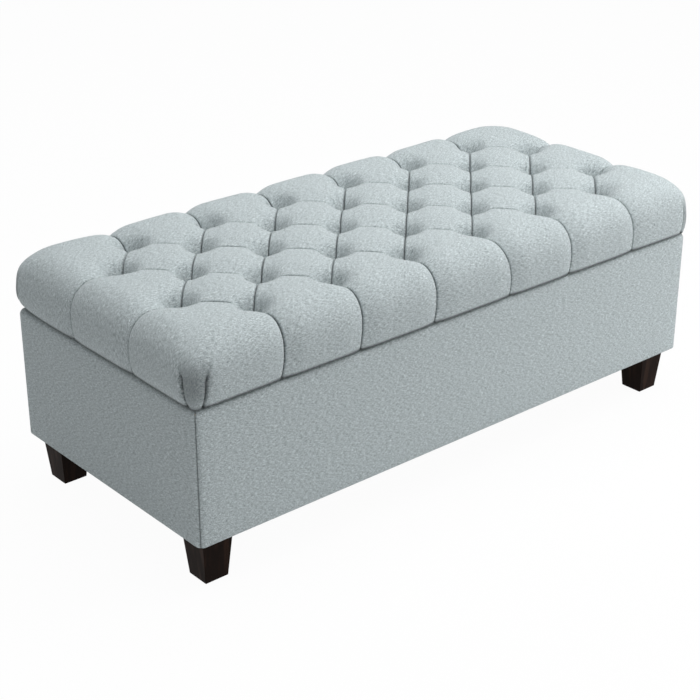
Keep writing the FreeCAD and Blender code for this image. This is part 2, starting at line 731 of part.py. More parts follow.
def stay_box_screws():
    pivot = stay_point(STAY_BOX_PIVOT)
    x = CAVITY_X - STAY_PLATE
    return [
        screw(Vec(side * x, pivot.y, pivot.z + rise), Vec(side, 0, 0), 15.0, 1.5, 3.0, 1.5)
        for _, side in SIDES
        for rise in (-20, 20)
    ]


def stay_lid_screws():
    pivot = stay_point(STAY_LID_PIVOT)
    x = BRACKET_IN + 10
    z = LID_LINING_LOW - STAY_PLATE
    return [
        screw(Vec(side * x, pivot.y + offset, z), Vec(0, 0, 1), 15.0, 1.5, 3.0, 1.5)
        for _, side in SIDES
        for offset in (-9, 9)
    ]


def stays():
    """Both stays: brackets, links and rivets."""
    low = stay_point(STAY_BOX_PIVOT)
    high = stay_point(STAY_LID_PIVOT)
    knuckle = low + high - stay_point((0, 0))
    nodes = {}
    box_rivets = []
    lid_rivets = []
    for name, side in SIDES:
        prefix = "stay_" + name
        nodes[prefix + "_box_bracket"] = box_bracket(side)
        nodes[prefix + "_lower_link"] = flat_link(low, knuckle, side, 1)
        nodes[prefix + "_upper_link"] = flat_link(high, knuckle, side, 2)
        nodes[prefix + "_lid_bracket"] = lid_bracket(side)
        nodes[prefix + "_knuckle_rivet"] = rivet(knuckle, side, 1, 2, True)
        box_rivets.append(rivet(low, side, 0, 1, False))
        lid_rivets.append(rivet(high, side, 2, 3, True))
    nodes["stay_box_rivets"] = Part.makeCompound(box_rivets)
    nodes["stay_lid_rivets"] = Part.makeCompound(lid_rivets)
    return nodes


# ---------------------------------------------------------------- linings and dust cover
def dust_cover():
    """The thin cloth under the box, notched round the legs."""
    inset = 14.0
    low = LEG_HEIGHT - 0.7
    high = LEG_HEIGHT - 0.1
    cloth = slab(HALF_X - inset, HALF_Y - inset, low, high)
    x = LEG_X - LEG_TOP / 2 - 1
    y = LEG_Y - LEG_TOP / 2 - 1
    notches = [
        block(sx * x, sx * HALF_X, sy * y, sy * HALF_Y, low - 1, high + 1)
        for _, sx, sy in corner_names()
    ]
    return cloth.cut(notches)


def box_staples():
    """Staples through the turned-in covers, and others through the dust cover."""
    hem = staple_ring(HALF_X - 10, HALF_Y - 10, LEG_HEIGHT)
    cloth = staple_ring(HALF_X - 16.5, HALF_Y - 16.5, LEG_HEIGHT - 0.7, 1)
    return hem + cloth


# ---------------------------------------------------------------- putting it together
def box_nodes():
    """Everything that stays still when the lid opens."""
    nodes = side_panels()
    nodes.update({name + "_cover": skin for name, skin in body_covers().items()})
    nodes["box_padding"] = box_padding()
    nodes["floor_panel"] = slab(PANEL_IN_X - 0.2, PANEL_IN_Y - 0.2, FLOOR_LOW, FLOOR_HIGH)
    nodes.update(floor_battens())
    nodes.update(legs_and_hardware())
    nodes["wall_lining"] = ring(
        LINING_OUT_X, LINING_OUT_Y, CAVITY_X, CAVITY_Y, FLOOR_HIGH, BODY_TOP - 6.0
    )
    nodes["floor_lining"] = slab(CAVITY_X - 0.2, CAVITY_Y - 0.2, FLOOR_HIGH, FLOOR_HIGH + LINING)
    nodes["dust_cover"] = dust_cover()
    groups = {
        "panel_screws": panel_screws(),
        "floor_screws": floor_screws(),
        "box_staples": box_staples(),
        "box_hardware_screws": stay_box_screws()
        + hinge_screws(BOX_SCREW_Y, BODY_TOP + HINGE_LEAF, Vec(0, 0, -1), 28.0),
    }
    for name, side in SIDES:
        middle = side * HINGE_X
        nodes[f"hinge_{name}_box_leaf"] = hinge_leaf(middle, BOX_LEAF_Y, BODY_TOP, (0, 2, 4))
        nodes[f"hinge_{name}_pin"] = hinge_pin(middle)
    return nodes, groups


def lid_nodes():
    """Everything that swings up with the lid."""
    holes = twine_holes()
    places = [tuft_xy(*t) for t in tufts()]
    lining_x = HALF_X - LID_LINING_INSET
    lining_y = HALF_Y - LID_LINING_INSET
    nodes = {
        "lid_board": slab(BOARD_X, BOARD_Y, BOARD_LOW, BOARD_HIGH).cut(holes),
        "lid_foam": lid_foam().cut(holes),
        "lid_cover": lid_cover().cut(holes),
        "lid_lining": slab(lining_x, lining_y, LID_LINING_LOW, LID_LINING_HIGH),
    }
    for name, side in SIDES:
        leaf_low = LID_UNDERSIDE - HINGE_LEAF
        nodes[f"hinge_{name}_lid_leaf"] = hinge_leaf(side * HINGE_X, LID_LEAF_Y, leaf_low, (1, 3))
    groups = {
        "lid_staples": lid_staples(),
        "lid_hardware_screws": stay_lid_screws()
        + hinge_screws(LID_SCREW_Y, LID_UNDERSIDE - HINGE_LEAF, Vec(0, 0, 1), 15.0),
        "tuft_twines": [twine(x, y) for x, y in places],
        "tuft_washers": [washer(x, y) for x, y in places],
        "lid_bumpers": lid_bumpers(),
    }
    return nodes, groups


FASTENERS = (
    "panel_screws",
    "floor_screws",
    "box_staples",
    "box_hardware_screws",
    "lid_staples",
    "lid_hardware_screws",
)


def bored(nodes, groups):
    """Cuts each fastener's own shape out of the pieces that it passes through."""
    tools = [t for name in FASTENERS if name in groups for t in groups[name]]
    made = {}
    for name, shape in nodes.items():
        through = near(shape, tools)
        made[name] = shape.cut(through) if through else shape
    made.update({name: Part.makeCompound(solids) for name, solids in groups.items()})
    return made


def main():
    os.makedirs("parts", exist_ok=True)
    moving = stays()
    box, box_groups = box_nodes()
    lid, lid_groups = lid_nodes()
    for name, shape in moving.items():
        if "_lid_" in name:
            lid[name] = shape
        elif "_box_" in name:
            box[name] = shape
    for nodes, groups in ((box, box_groups), (lid, lid_groups)):
        for name, shape in bored(nodes, groups).items():
            save(name, shape)
    for name, shape in moving.items():
        if "_lid_" not in name and "_box_" not in name:
            save(name, shape)


main()
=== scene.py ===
import bmesh
import bpy
import json
import math
import numpy as np
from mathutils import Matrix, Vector


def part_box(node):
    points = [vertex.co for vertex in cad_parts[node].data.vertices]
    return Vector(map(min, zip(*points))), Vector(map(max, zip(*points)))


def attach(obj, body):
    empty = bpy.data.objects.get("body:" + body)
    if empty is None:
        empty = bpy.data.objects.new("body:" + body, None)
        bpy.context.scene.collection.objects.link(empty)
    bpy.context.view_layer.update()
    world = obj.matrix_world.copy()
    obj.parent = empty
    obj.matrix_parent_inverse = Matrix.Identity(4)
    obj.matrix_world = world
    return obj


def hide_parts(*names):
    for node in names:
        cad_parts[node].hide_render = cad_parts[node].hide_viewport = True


# %% [markdown]
# # An upholstered storage bench with a tufted lid
# The bench is a plywood box wrapped in thin foam and linen, on four short dark legs.  Its lid
# is a deep-tufted cushion over a board, hinged at the back.  The frame below holds every
# piece at its real size.  The pieces here give the soft ones their cloth form, and every
# other one its finish.

# %% Load the frame
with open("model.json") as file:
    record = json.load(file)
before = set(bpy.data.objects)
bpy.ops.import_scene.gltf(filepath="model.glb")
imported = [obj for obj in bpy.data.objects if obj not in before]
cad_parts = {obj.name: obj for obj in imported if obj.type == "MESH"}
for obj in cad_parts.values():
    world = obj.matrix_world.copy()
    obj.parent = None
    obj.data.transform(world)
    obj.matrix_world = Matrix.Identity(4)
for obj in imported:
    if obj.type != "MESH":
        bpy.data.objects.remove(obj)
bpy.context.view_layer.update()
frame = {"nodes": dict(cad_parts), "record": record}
NODES = frame["nodes"]

# %% [markdown]
# ## The camera
# A long lens from the front left and above shows the lid's top, the long front and the
# left end.  It is level, so upright edges lean only by perspective.

# %% Camera
CAMERA_PLACE = (-1.9156, -2.1820, 1.5390)
CAMERA_TURN = math.radians(40.55)       # to the right of looking along +Y
CAMERA_DIP = math.radians(25.2)
LENS = 85.1
SENSOR = 36.0


def add_camera():
    data = bpy.data.cameras.new("camera")
    data.sensor_width = SENSOR
    data.lens = LENS
    camera = bpy.data.objects.new("camera", data)
    bpy.context.scene.collection.objects.link(camera)
    camera.location = CAMERA_PLACE
    camera.rotation_euler = (math.pi / 2 - CAMERA_DIP, 0.0, -CAMERA_TURN)
    bpy.context.scene.camera = camera
    return camera


print("camera:", add_camera().name)

# %% [markdown]
# ## Small helpers
# A mesh here is a list of points and a list of faces, worked out by formulas.  One helper
# turns them into an object, and another lays the cloth's own flat coordinates over it, in
# metres, so that a weave keeps its scale and runs with the threads.

# %% Mesh helpers
CLOTH_MAP = "cloth"
WAVES = 10
WELD_GAP = 2.0e-5


def new_object(name, points, faces, cloth=None, smooth=True):
    """An object from points and faces.  cloth gives each face corner's flat coordinates."""
    mesh = bpy.data.meshes.new(name)
    mesh.from_pydata([tuple(p) for p in points], [], faces)
    if cloth is not None:
        layer = mesh.uv_layers.new(name=CLOTH_MAP)
        layer.data.foreach_set("uv", np.asarray(cloth, np.float32).ravel())
    mesh.validate()
    mesh.update()
    if smooth:
        mesh.shade_smooth()
    made = bpy.data.objects.new(name, mesh)
    bpy.context.scene.collection.objects.link(made)
    return made


def grid_faces(rows, columns, start):
    """Quads of a grid whose points run row by row, from a given point on."""
    corners = (0, 1, columns + 1, columns)
    return [
        tuple(start + i * columns + j + step for step in corners)
        for i in range(rows - 1)
        for j in range(columns - 1)
    ]


def smooth_step(value, low, high):
    share = np.clip((value - low) / (high - low), 0.0, 1.0)
    return share * share * (3.0 - 2.0 * share)


def ripples(u, v, seed, longest=0.22):
    """A gentle, repeatable unevenness between about -1 and 1, from a few crossing waves."""
    draw = np.random.default_rng(seed)
    total = np.zeros_like(u)
    for _ in range(WAVES):
        length = longest * draw.uniform(0.3, 1.0)
        turn = draw.uniform(0, 2 * math.pi)
        phase = draw.uniform(0, 2 * math.pi)
        along = u * math.cos(turn) + v * math.sin(turn)
        total = total + np.sin(2 * math.pi * along / length + phase) * length / longest
    return total / math.sqrt(WAVES)


print("ripples at a point:", round(float(ripples(np.array([0.1]), np.array([0.2]), 3)[0]), 3))

# %% [markdown]
# ## Sizes read from the frame
# The lid's cover and the four body covers give the outer sizes, in metres.  The tufts stand
# on a staggered grid, so five rows of six or seven make diamonds between them.

# %% Sizes
BODY_LOW = Vector(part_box("left_end_cover")[0])
BODY_HIGH = Vector(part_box("right_end_cover")[1])
LID_LOW, LID_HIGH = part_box("lid_cover")
HALF_X = BODY_HIGH.x
HALF_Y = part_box("back_cover")[1].y
BODY_BOTTOM = BODY_LOW.z
BODY_TOP = BODY_HIGH.z
LID_HALF_X = LID_HIGH.x
LID_HALF_Y = LID_HIGH.y
LID_BOTTOM = LID_LOW.z
CREST = LID_HIGH.z
MM = 0.001
print(f"body {2000 * HALF_X:.0f} x {2000 * HALF_Y:.0f} mm, crest at {1000 * CREST:.1f} mm")

# %% Where the tufts are
TUFT_STEP_X = 84.3 * MM         # half the distance between tufts along a row
TUFT_STEP_Y = 88.2 * MM         # distance between rows
TUFT_SHIFT = (6.0 * MM, -5.0 * MM)
COLUMNS = 12
ROWS = (1, 2, 3, 4, 5)


def tuft(column, row):
    x = (column - COLUMNS / 2) * TUFT_STEP_X + TUFT_SHIFT[0]
    y = (row - 3) * TUFT_STEP_Y + TUFT_SHIFT[1]
    return np.array([x, y])


TUFTS = [(c, r) for r in ROWS for c in range(COLUMNS + 1) if (c + r) % 2 == 0]
LINKS = [
    ((c, r), (c + step, r + 1))
    for c, r in TUFTS
    for step in (-1, 1)
    if (c + step, r + 1) in TUFTS
]
TUFT_GAP = math.hypot(TUFT_STEP_X, TUFT_STEP_Y)
print("tufts:", len(TUFTS), "pleats between them:", len(LINKS))

# %% [markdown]
# ## How deep the cloth lies
# Laid flat, every pleat of the lid is a straight line: diagonals from tuft to tuft, and
# edge pleats from the outer tufts straight over the border.  The depth of the cloth under
# its smooth outer form is worked out on that flat plan, from the distance to each pleat and
# each tuft.  A valley is broad and soft with a narrow groove at its bottom, where two folds
# of cloth meet.

# %% Depth of the tufting
FAR = 1.0                   # farther than any pleat or tuft, in metres
FUNNEL_DEPTH = 12.5 * MM    # the broad hollow round each tuft
FUNNEL_REACH = 40.0 * MM
BOWL_DEPTH = 22.5 * MM      # the steep-sided bowl inside it
BOWL_REACH = 25.0 * MM
BOWL_STEEPNESS = 3.6
TUFT_REACH = 9.0 * MM       # the tuft itself, where no fold shows
CORNER_SWELL = 0.12         # how much the puffs' corners fill the hollow
CORNER_REACH = 9.0 * MM
VALLEY_DEPTH = 2.5 * MM     # the valley along a pleat between two tufts
VALLEY_REACH = 36.0 * MM
EDGE_DEPTH = 8.0 * MM       # the valley along an edge pleat
EDGE_REACH = 38.0 * MM
EDGE_SHARPNESS = 2.2
EDGE_FADE = 0.72            # the share of it that is lost on the way over the shoulder
EDGE_FADE_RUN = (60.0 * MM, 190.0 * MM)
GROOVE_DEPTH = 10.0 * MM
GROOVE_REACH = 0.75 * MM
LIP_DEPTH = 2.0 * MM        # the fold's rounded lip, on the left of a pleat
LIP_REACH = 3.0 * MM
DRAG_DEPTH = 0.7 * MM       # the creases that fan out from a tuft
DRAG_RAYS = (7, 10, 13, 17)
DRAG_START = (4.0 * MM, 14.0 * MM)
DRAG_END = (14.0 * MM, 50.0 * MM)
PUFF_LIFT = 3.5 * MM        # how much a puff's middle stands above its edges
PUFF_REACH = 45.0 * MM
UNEVENNESS = 0.8 * MM

# How tightly the pleats are folded, from 0 to 1.  The long ones run from near left to far
# right, and the cross ones show only between their ends.
CROSS_HELD = (0.2, 0.9)
CROSS_SHOWN = (26.0 * MM, 56.0 * MM)
CROSS_OPEN = 10.0 * MM
LONG_HELD = 0.85
LONG_FADE = 0.4
FRONT_HELD = (1.0, 1.0, 0.85, 0.5, 0.55, 0.4)      # the front's pleats, from the left
BACK_HELD = 0.8
END_HELD = 0.4

FOLD = "fold"               # painted shade: 1 in the slit between two folds of cloth, 0 on the open cloth
FOLD_REACH = 1.15 * MM
CLOSE_SHADE = 0.7           # painted shade right round a tuft
CLOSE_REACH = 13.0 * MM
HOLLOW_SHADE = 0.19         # painted shade over the hollow round it
HOLLOW_REACH = 25.0 * MM


def away_from_line(points, start, end, endless=False):
    """Distance from each point to a straight pleat, its reach along it, and a left flag."""
    along = end - start
    length = np.linalg.norm(along)
    along = along / length
    reach = (points - start) @ along
    reach = np.clip(reach, 0.0, None if endless else length)
    foot = start + reach[:, None] * along
    left = points[:, 0] < foot[:, 0] - 1.0e-6
    return np.linalg.norm(points - foot, axis=1), reach, left


def tuft_pull(points):
    """The depth of all the hollows round the tufts, and the distance to the nearest tuft."""
    total = np.zeros(len(points))
    near = np.full(len(points), FAR)
    for place in TUFTS:
        far = np.linalg.norm(points - tuft(*place), axis=1)
        total += FUNNEL_DEPTH * np.exp(-(far / FUNNEL_REACH) ** 2)
        total += BOWL_DEPTH * np.exp(-(far / BOWL_REACH) ** BOWL_STEEPNESS)
        near = np.minimum(near, far)
    return total, near


def valley(distance, reach, sharpness=2.0):
    return np.clip(1.0 - distance / reach, 0.0, 1.0) ** sharpness


def groove(distance, left):
    """The narrow groove where two folds of cloth meet, with a softer lip on its left."""
    narrow = (GROOVE_DEPTH - LIP_DEPTH) * np.exp(-distance / GROOVE_REACH)
    lip = LIP_DEPTH * np.exp(-distance / LIP_REACH)
    return narrow + np.where(left | (distance < 1.0e-6), lip, 0.0)


def drag_lines(points):
    """Faint creases that fan out from each tuft, where its twine pulls the cloth."""
    draw = np.random.default_rng(8)
    total = np.zeros(len(points))
    for place in TUFTS:
        away = points - tuft(*place)
        far = np.linalg.norm(away, axis=1)
        turn = np.arctan2(away[:, 1], away[:, 0])
        fan = np.zeros(len(points))
        for rays in DRAG_RAYS:
            fan += draw.uniform(0.4, 1.0) * np.cos(rays * turn + draw.uniform(0, 2 * math.pi))
        swell = smooth_step(far, *DRAG_START) * (1.0 - smooth_step(far, *DRAG_END))
        total += fan * swell
    return DRAG_DEPTH * total


def edge_tufts():
    """The outer tufts, each with the direction that its edge pleat runs in."""
    found = []
    for c, r in TUFTS:
        if r in (ROWS[0], ROWS[-1]):
            found.append(((c, r), np.array([0.0, -1.0 if r == ROWS[0] else 1.0])))
        if c in (0, COLUMNS):
            found.append(((c, r), np.array([-1.0 if c == 0 else 1.0, 0.0])))
    return found


def edge_pleats(points):
    """Each edge pleat's tuft and way out, and where the points lie from it."""
    for place, outward in edge_tufts():
        start = tuft(*place)
        yield place, outward, away_from_line(points, start, start + outward, endless=True)


def edge_held(place, outward):
    """How tightly an edge pleat is folded.  The ones at the ends lie almost open."""
    if outward[1] == 0.0:
        return END_HELD
    return FRONT_HELD[place[0] // 2] if outward[1] < 0.0 else BACK_HELD


class Pleats:
    """What the pleats met so far do to each point of the flat plan."""

    def __init__(self, count):
        self.nearest = np.full(count, FAR)
        self.held = np.ones(count)
        self.on_left = np.zeros(count, bool)
        self.valleys = np.zeros(count)

    def meet(self, distance, left, held, valleys):
        closer = distance < self.nearest
        self.held = np.where(closer, held, self.held)
        self.on_left = np.where(closer, left, self.on_left)
        self.nearest = np.minimum(self.nearest, distance)
        self.valleys = np.maximum(self.valleys, valleys)


def tuft_shade(near):
    """Painted shade round a tuft, where the hollow is deep and little light gets in."""
    close = CLOSE_SHADE * np.exp(-(near / CLOSE_REACH) ** 2)
    return close + HOLLOW_SHADE * np.exp(-(near / HOLLOW_REACH) ** 2)


def hollow(points, calm):
    """Depth of the cloth at points of the flat plan, and the painted shade it gets there.

    calm is 1 where the lid's side runs straight along its foot, and 0 on the open cushion.
    """
    pleats = Pleats(len(points))
    from_edges = np.full(len(points), FAR)      # of the puff that the point is on
    draw = np.random.default_rng(21)
    for a, b in LINKS:
        distance, reach, left = away_from_line(points, tuft(*a), tuft(*b))
        held = draw.uniform(*CROSS_HELD)
        shown = 1.0
        if b[0] < a[0]:
            shown = smooth_step(np.minimum(reach, TUFT_GAP - reach), *CROSS_SHOWN)
            held = held * shown
        else:
            held = (LONG_HELD + (1.0 - LONG_HELD) * held) * (1.0 - LONG_FADE * reach / TUFT_GAP)
        pleats.meet(distance, left, held, shown * VALLEY_DEPTH * valley(distance, VALLEY_REACH))
        from_edges = np.minimum(from_edges, distance + CROSS_OPEN * (1.0 - shown))
    for place, outward, (distance, reach, left) in edge_pleats(points):
        fade = 1.0 - EDGE_FADE * smooth_step(reach, *EDGE_FADE_RUN)
        deep = EDGE_DEPTH * fade * valley(distance, EDGE_REACH, EDGE_SHARPNESS)
        pleats.meet(distance, left, edge_held(place, outward) * (0.5 + 0.5 * fade), deep)
        from_edges = np.minimum(from_edges, distance)
    pull, near = tuft_pull(points)
    corner = 1.0 - CORNER_SWELL * (1.0 - np.exp(-pleats.nearest / CORNER_REACH))
    pleat = groove(pleats.nearest, pleats.on_left) * pleats.held
    pleat = pleat * (1.0 - np.exp(-near / TUFT_REACH))
    lift = PUFF_LIFT * smooth_step(from_edges, 0.0, PUFF_REACH)
    uneven = UNEVENNESS * ripples(points[:, 0], points[:, 1], 5, 0.3)
    depth = pull * corner + pleats.valleys + pleat + (uneven - lift) * (1.0 - calm)
    # Painted shade in each pleat's slit, as strong as the pleat is held shut, and round the
    # tufts
    slit = pleats.held * np.exp(-(pleats.nearest / FOLD_REACH) ** 2)
    return depth + drag_lines(points), np.maximum(slit, tuft_shade(near))


AT_TUFT, BETWEEN = hollow(np.array([tuft(3, 3), (tuft(3, 3) + tuft(4, 4)) / 2]), 0.0)[0]
print(f"depth at a tuft {AT_TUFT / MM:.1f} mm, between tufts {BETWEEN / MM:.1f} mm")

# %% [markdown]
# ## The lid's outer form
# The border is a stack of level curves, each a rectangle with round corners.  They start at
# the flat top, roll over a large shoulder, run down the side and turn in under the board.
# The corners get rounder towards the top, as stuffed cloth corners do.

# %% Levels of the border
SHOULDER = 58.0 * MM
SIDE_FOOT_DROP = 12.0 * MM
FOOT_ROUND = 3.2 * MM
HEM_WIDTH = 45.0 * MM
TOP_CORNER = 62.0 * MM
SIDE_CORNER = 32.0 * MM
FOOT_CORNER = 18.0 * MM
SHOULDER_LEVELS = 8
SIDE_LEVELS = 9
SIDE_UPRIGHT = 0.25         # the share of the side that stands upright before it tucks in
SIDE_CROWDING = 1.4         # how much the side's levels crowd towards its foot
TOP_CORNER_FADE = 1.5       # how fast the corners get sharper over the shoulder
HEM_SHARES = (0.15, 0.5, 1.0)
HEM_EDGE = (0.3 * MM, 1.4 * MM)     # the hem's last fold, inwards and up


def border_levels():
    """Each level: inset from the widest outline, height, corner radius, travel so far."""
    levels = []
    for k in range(SHOULDER_LEVELS + 1):
        turn = math.pi / 2 * k / SHOULDER_LEVELS
        inset = SHOULDER * (1.0 - math.sin(turn))
        corner = SIDE_CORNER + (TOP_CORNER - SIDE_CORNER) * math.cos(turn) ** TOP_CORNER_FADE
        levels.append((inset, CREST - SHOULDER * (1.0 - math.cos(turn)), corner))
    widest = CREST - SHOULDER
    foot = LID_BOTTOM + FOOT_ROUND
    for k in range(1, SIDE_LEVELS + 1):
        share = 1.0 - (1.0 - k / SIDE_LEVELS) ** SIDE_CROWDING
        tuck = max(share - SIDE_UPRIGHT, 0.0) / (1.0 - SIDE_UPRIGHT)
        inset = (SIDE_FOOT_DROP - FOOT_ROUND * 0.3) * tuck ** 2
        corner = SIDE_CORNER + (FOOT_CORNER - SIDE_CORNER) * share * share
        levels.append((inset, widest + (foot - widest) * share, corner))
    inset = levels[-1][0]
    for turn in (math.pi / 4, math.pi / 2):
        drop = FOOT_ROUND * math.sin(turn)
        inward = FOOT_ROUND * (1.0 - math.cos(turn))
        levels.append((inset + inward, foot - drop, FOOT_CORNER - inward))
    for share in HEM_SHARES:
        inward = FOOT_ROUND + (HEM_WIDTH - inset) * share
        levels.append((inset + inward, LID_BOTTOM, max(FOOT_CORNER - inward, 1.0 * MM)))
    levels.append((inset + inward + HEM_EDGE[0], LID_BOTTOM + HEM_EDGE[1], 1.0 * MM))
    travel = [0.0]
    for (i0, z0, _), (i1, z1, _) in zip(levels, levels[1:]):
        travel.append(travel[-1] + math.hypot(i1 - i0, z1 - z0))
    return [level + (far,) for level, far in zip(levels, travel)]


LEVELS = border_levels()
FOOT_LEVEL = SHOULDER_LEVELS + SIDE_LEVELS
print("border levels:", len(LEVELS), "travel to the foot, mm:",
      round(LEVELS[FOOT_LEVEL][3] * 1000))

# %% Places on a level curve
FRONT, BACK, LEFT, RIGHT = "front", "back", "left", "right"
OUTWARD = {
    FRONT: np.array([0.0, -1.0]),
    BACK: np.array([0.0, 1.0]),
    LEFT: np.array([-1.0, 0.0]),
    RIGHT: np.array([1.0, 0.0]),
}


def level_size(level, side):
    """Half of a level curve's size along a side and across it, and its corner radius."""
    inset, _, corner, _ = level
    halves = (LID_HALF_X - inset, LID_HALF_Y - inset)
    return *(halves[::-1] if OUTWARD[side][0] else halves), corner


def on_side(level, side, place):
    """A point of a level curve's straight run, and the way out from it."""
    _, half_out, _ = level_size(level, side)
    out = OUTWARD[side]
    return np.where(out == 0.0, place, out * half_out), out


def round_corner(level, side, place, towards, travel):
    """A point some way along a level curve from a place on a side, towards a corner."""
    half_along, half_out, corner = level_size(level, side)
    out, aim = OUTWARD[side], OUTWARD[towards]
    straight = half_along - corner - place * aim.sum()
    if travel <= straight:
        return aim * (place * aim.sum() + travel) + out * half_out, out
    turn = (travel - straight) / corner
    centre = aim * (half_along - corner) + out * (half_out - corner)
    way = out * math.cos(turn) + aim * math.sin(turn)
    return centre + way * corner, way


def corner_length(level, side, place, towards):
    """From a place on a side to the middle of a corner, along the level curve."""
    half_along, _, corner = level_size(level, side)
    return half_along - corner - place * OUTWARD[towards].sum() + corner * math.pi / 4


print("pleat to corner at the top, mm:", round(1000 * corner_length(
    LEVELS[0], FRONT, tuft(1, 1)[0], LEFT)))

# %% [markdown]
# ## The tufted cushion as patches
# Each diamond between four tufts is one grid of quads, and so is each puff of the border,
# from its inner pleats over the shoulder to the hem.  The grids' edges are the pleats, so
# every pleat is a line of real mesh edges and stays sharp.  Cells are small beside a pleat
# and larger where the cloth is smooth.

# %% Patches of the lid
PATCH_CELLS = 24            # along one pleat
INNER_ROWS = 9              # from the inner pleats to the start of the shoulder
INNER_GROWTH = (1.35, 4.0)
TONGUE_TOP = 0.062          # how high the corner's folded tongue reaches over the foot
TONGUE_WIDE = 27.0 * MM     # half its width at the top and at the foot
TONGUE_NARROW = 9.0 * MM
TONGUE_FLARE = 0.33         # below 1, so that it widens early on the way up
PLEAT_COLUMNS = (0.0, 1.0, 2.5, 6.0, 14.0, 27.0)    # from a corner puff's pleat, mm
FLAP_COLUMN = 8.0 * MM      # from a tongue's slit to where the folded cloth beside it begins
SLIT_COLUMN = 2.0 * MM
FRONT_LEAN = (-8, -9, -7, 12, 1, 8)         # of the front pleats from left to right, mm
OTHER_LEAN = 5.0 * MM       # of the others, which lean by chance
LEAN_TURN = 37.0
LEAN_START = {BACK: 1.0, LEFT: 2.5, RIGHT: 2.5}


def growing(cells, growth=1.5, largest=7.0):
    """Places from 0 to 1 whose spacing grows from the start."""
    sizes = [min(growth ** k, largest) for k in range(cells)]
    return np.concatenate([[0.0], np.cumsum(sizes)]) / sum(sizes)


def both_ends(cells):
    """Places from 0 to 1 that crowd at both ends."""
    half = growing(cells // 2)
    return np.concatenate([half / 2, (1.0 - half[::-1] / 2)[1:]])


def tongue_half_width(height):
    rise = np.clip((height - LID_BOTTOM) / TONGUE_TOP, 0.0, 1.0)
    return TONGUE_NARROW + (TONGUE_WIDE - TONGUE_NARROW) * rise ** TONGUE_FLARE


def corner_columns(level, side, place, towards):
    """Travel along a level curve of the columns from a pleat to a corner's middle."""
    middle = corner_length(level, side, place, towards)
    slit = middle - tongue_half_width(level[1])
    by_pleat = [far * MM for far in PLEAT_COLUMNS]
    flap, inside = slit - FLAP_COLUMN, slit + SLIT_COLUMN
    return by_pleat + [(by_pleat[-1] + flap) / 2, flap, slit - SLIT_COLUMN, slit, inside,
                       (inside + middle) / 2, middle]


def at_height(plan, height, flat, cloth, off_tongue, level):
    """Points at one height of the outer form, with what is known about each of them.

    These are its place on the flat plan, its cloth coordinates, its distance from the middle
    of a corner that has a tongue, and its level.
    """
    count = len(plan)
    points = np.column_stack([plan, np.full(count, height)])
    return points, flat, cloth, off_tongue + np.zeros(count), np.full(count, float(level))


def stacked(parts):
    return [np.concatenate(part) for part in zip(*parts)]


class Patchwork:
    """Collects the grids that make up one cushion."""

    def __init__(self):
        self.grids = []
        self.faces = []
        self.count = 0

    def add(self, grid, rows, columns):
        self.faces += grid_faces(rows, columns, self.count)
        self.grids.append(grid)
        self.count += rows * columns


def add_diamond(work, column, row):
    west, south = tuft(column - 1, row), tuft(column, row - 1)
    north = tuft(column, row + 1)
    share = both_ends(PATCH_CELLS)
    a, b = np.meshgrid(share, share)
    plan = west + a.reshape(-1, 1) * (south - west) + b.reshape(-1, 1) * (north - west)
    work.add(at_height(plan, CREST, plan, plan, FAR, 0), len(share), len(share))


def inner_line(places):
    """Points along the pleats that join a few tufts."""
    share = both_ends(PATCH_CELLS)
    points = []
    for start, end in zip(places, places[1:]):
        a, b = tuft(*start), tuft(*end)
        points += [a + s * (b - a) for s in share[:-1]]
    return np.array(points + [tuft(*places[-1])])


def add_border(work, places, columns_at):
    """A border puff: columns_at(level) gives points, ways out, cloth and tongue distances."""
    inner = inner_line(places)
    start, ways, _, _ = columns_at(LEVELS[0])
    rows = []
    for share in growing(INNER_ROWS, *INNER_GROWTH)[:-1]:
        plan = inner + share * (start - inner)
        rows.append(at_height(plan, CREST, plan, plan, FAR, 0))
    for number, level in enumerate(LEVELS):
        plan, _, cloth, off_tongue = columns_at(level)
        flat = start + ways * level[3]
        rows.append(at_height(plan, level[1], flat, cloth, off_tongue, number))
    work.add(stacked(rows), len(rows), len(inner))


def lean(side, place):
    """How far an edge pleat has moved sideways by the time it reaches the foot."""
    if side == FRONT:
        number = int(round((place - tuft(1, 1)[0]) / (2 * TUFT_STEP_X)))
        return FRONT_LEAN[number] * MM
    return OTHER_LEAN * math.sin(LEAN_TURN * place + LEAN_START[side])


def straight_columns(side, first, last, cells):
    share = both_ends(cells)
    places = first + (last - first) * share
    leaning = lean(side, first) * (1.0 - share) + lean(side, last) * share

    def at(level):
        moved = places + leaning * smooth_step(level[3], 0.0, LEVELS[FOOT_LEVEL][3])
        points, ways = map(np.array, zip(*[on_side(level, side, p) for p in moved]))
        start = np.array([on_side(LEVELS[0], side, p)[0] for p in places])
        return points, ways, start + ways * level[3], np.full(len(points), FAR)

    return at


def corner_at(first_side, first_place, second_side, second_place):
    def half(level, side, place, towards):
        travel = corner_columns(level, side, place, towards)
        moved = lean(side, place) * OUTWARD[towards].sum()
        moved *= smooth_step(level[3], 0.0, LEVELS[FOOT_LEVEL][3])
        run = [t + moved * (1.0 - t / travel[-1]) for t in travel]
        found = [round_corner(level, side, place, towards, t) for t in run]
        points, ways = map(np.array, zip(*found))
        start = on_side(LEVELS[0], side, place)[0]
        run = np.array(travel)[:, None]
        woven = start + OUTWARD[towards] * run + OUTWARD[side] * level[3]
        middle = corner_length(level, side, place, towards)
        return points, ways, woven, middle - np.array(travel)

    def at(level):
        one = half(level, first_side, first_place, second_side)
        two = half(level, second_side, second_place, first_side)
        return tuple(np.concatenate([a, b[::-1][1:]]) for a, b in zip(one, two))

    return at


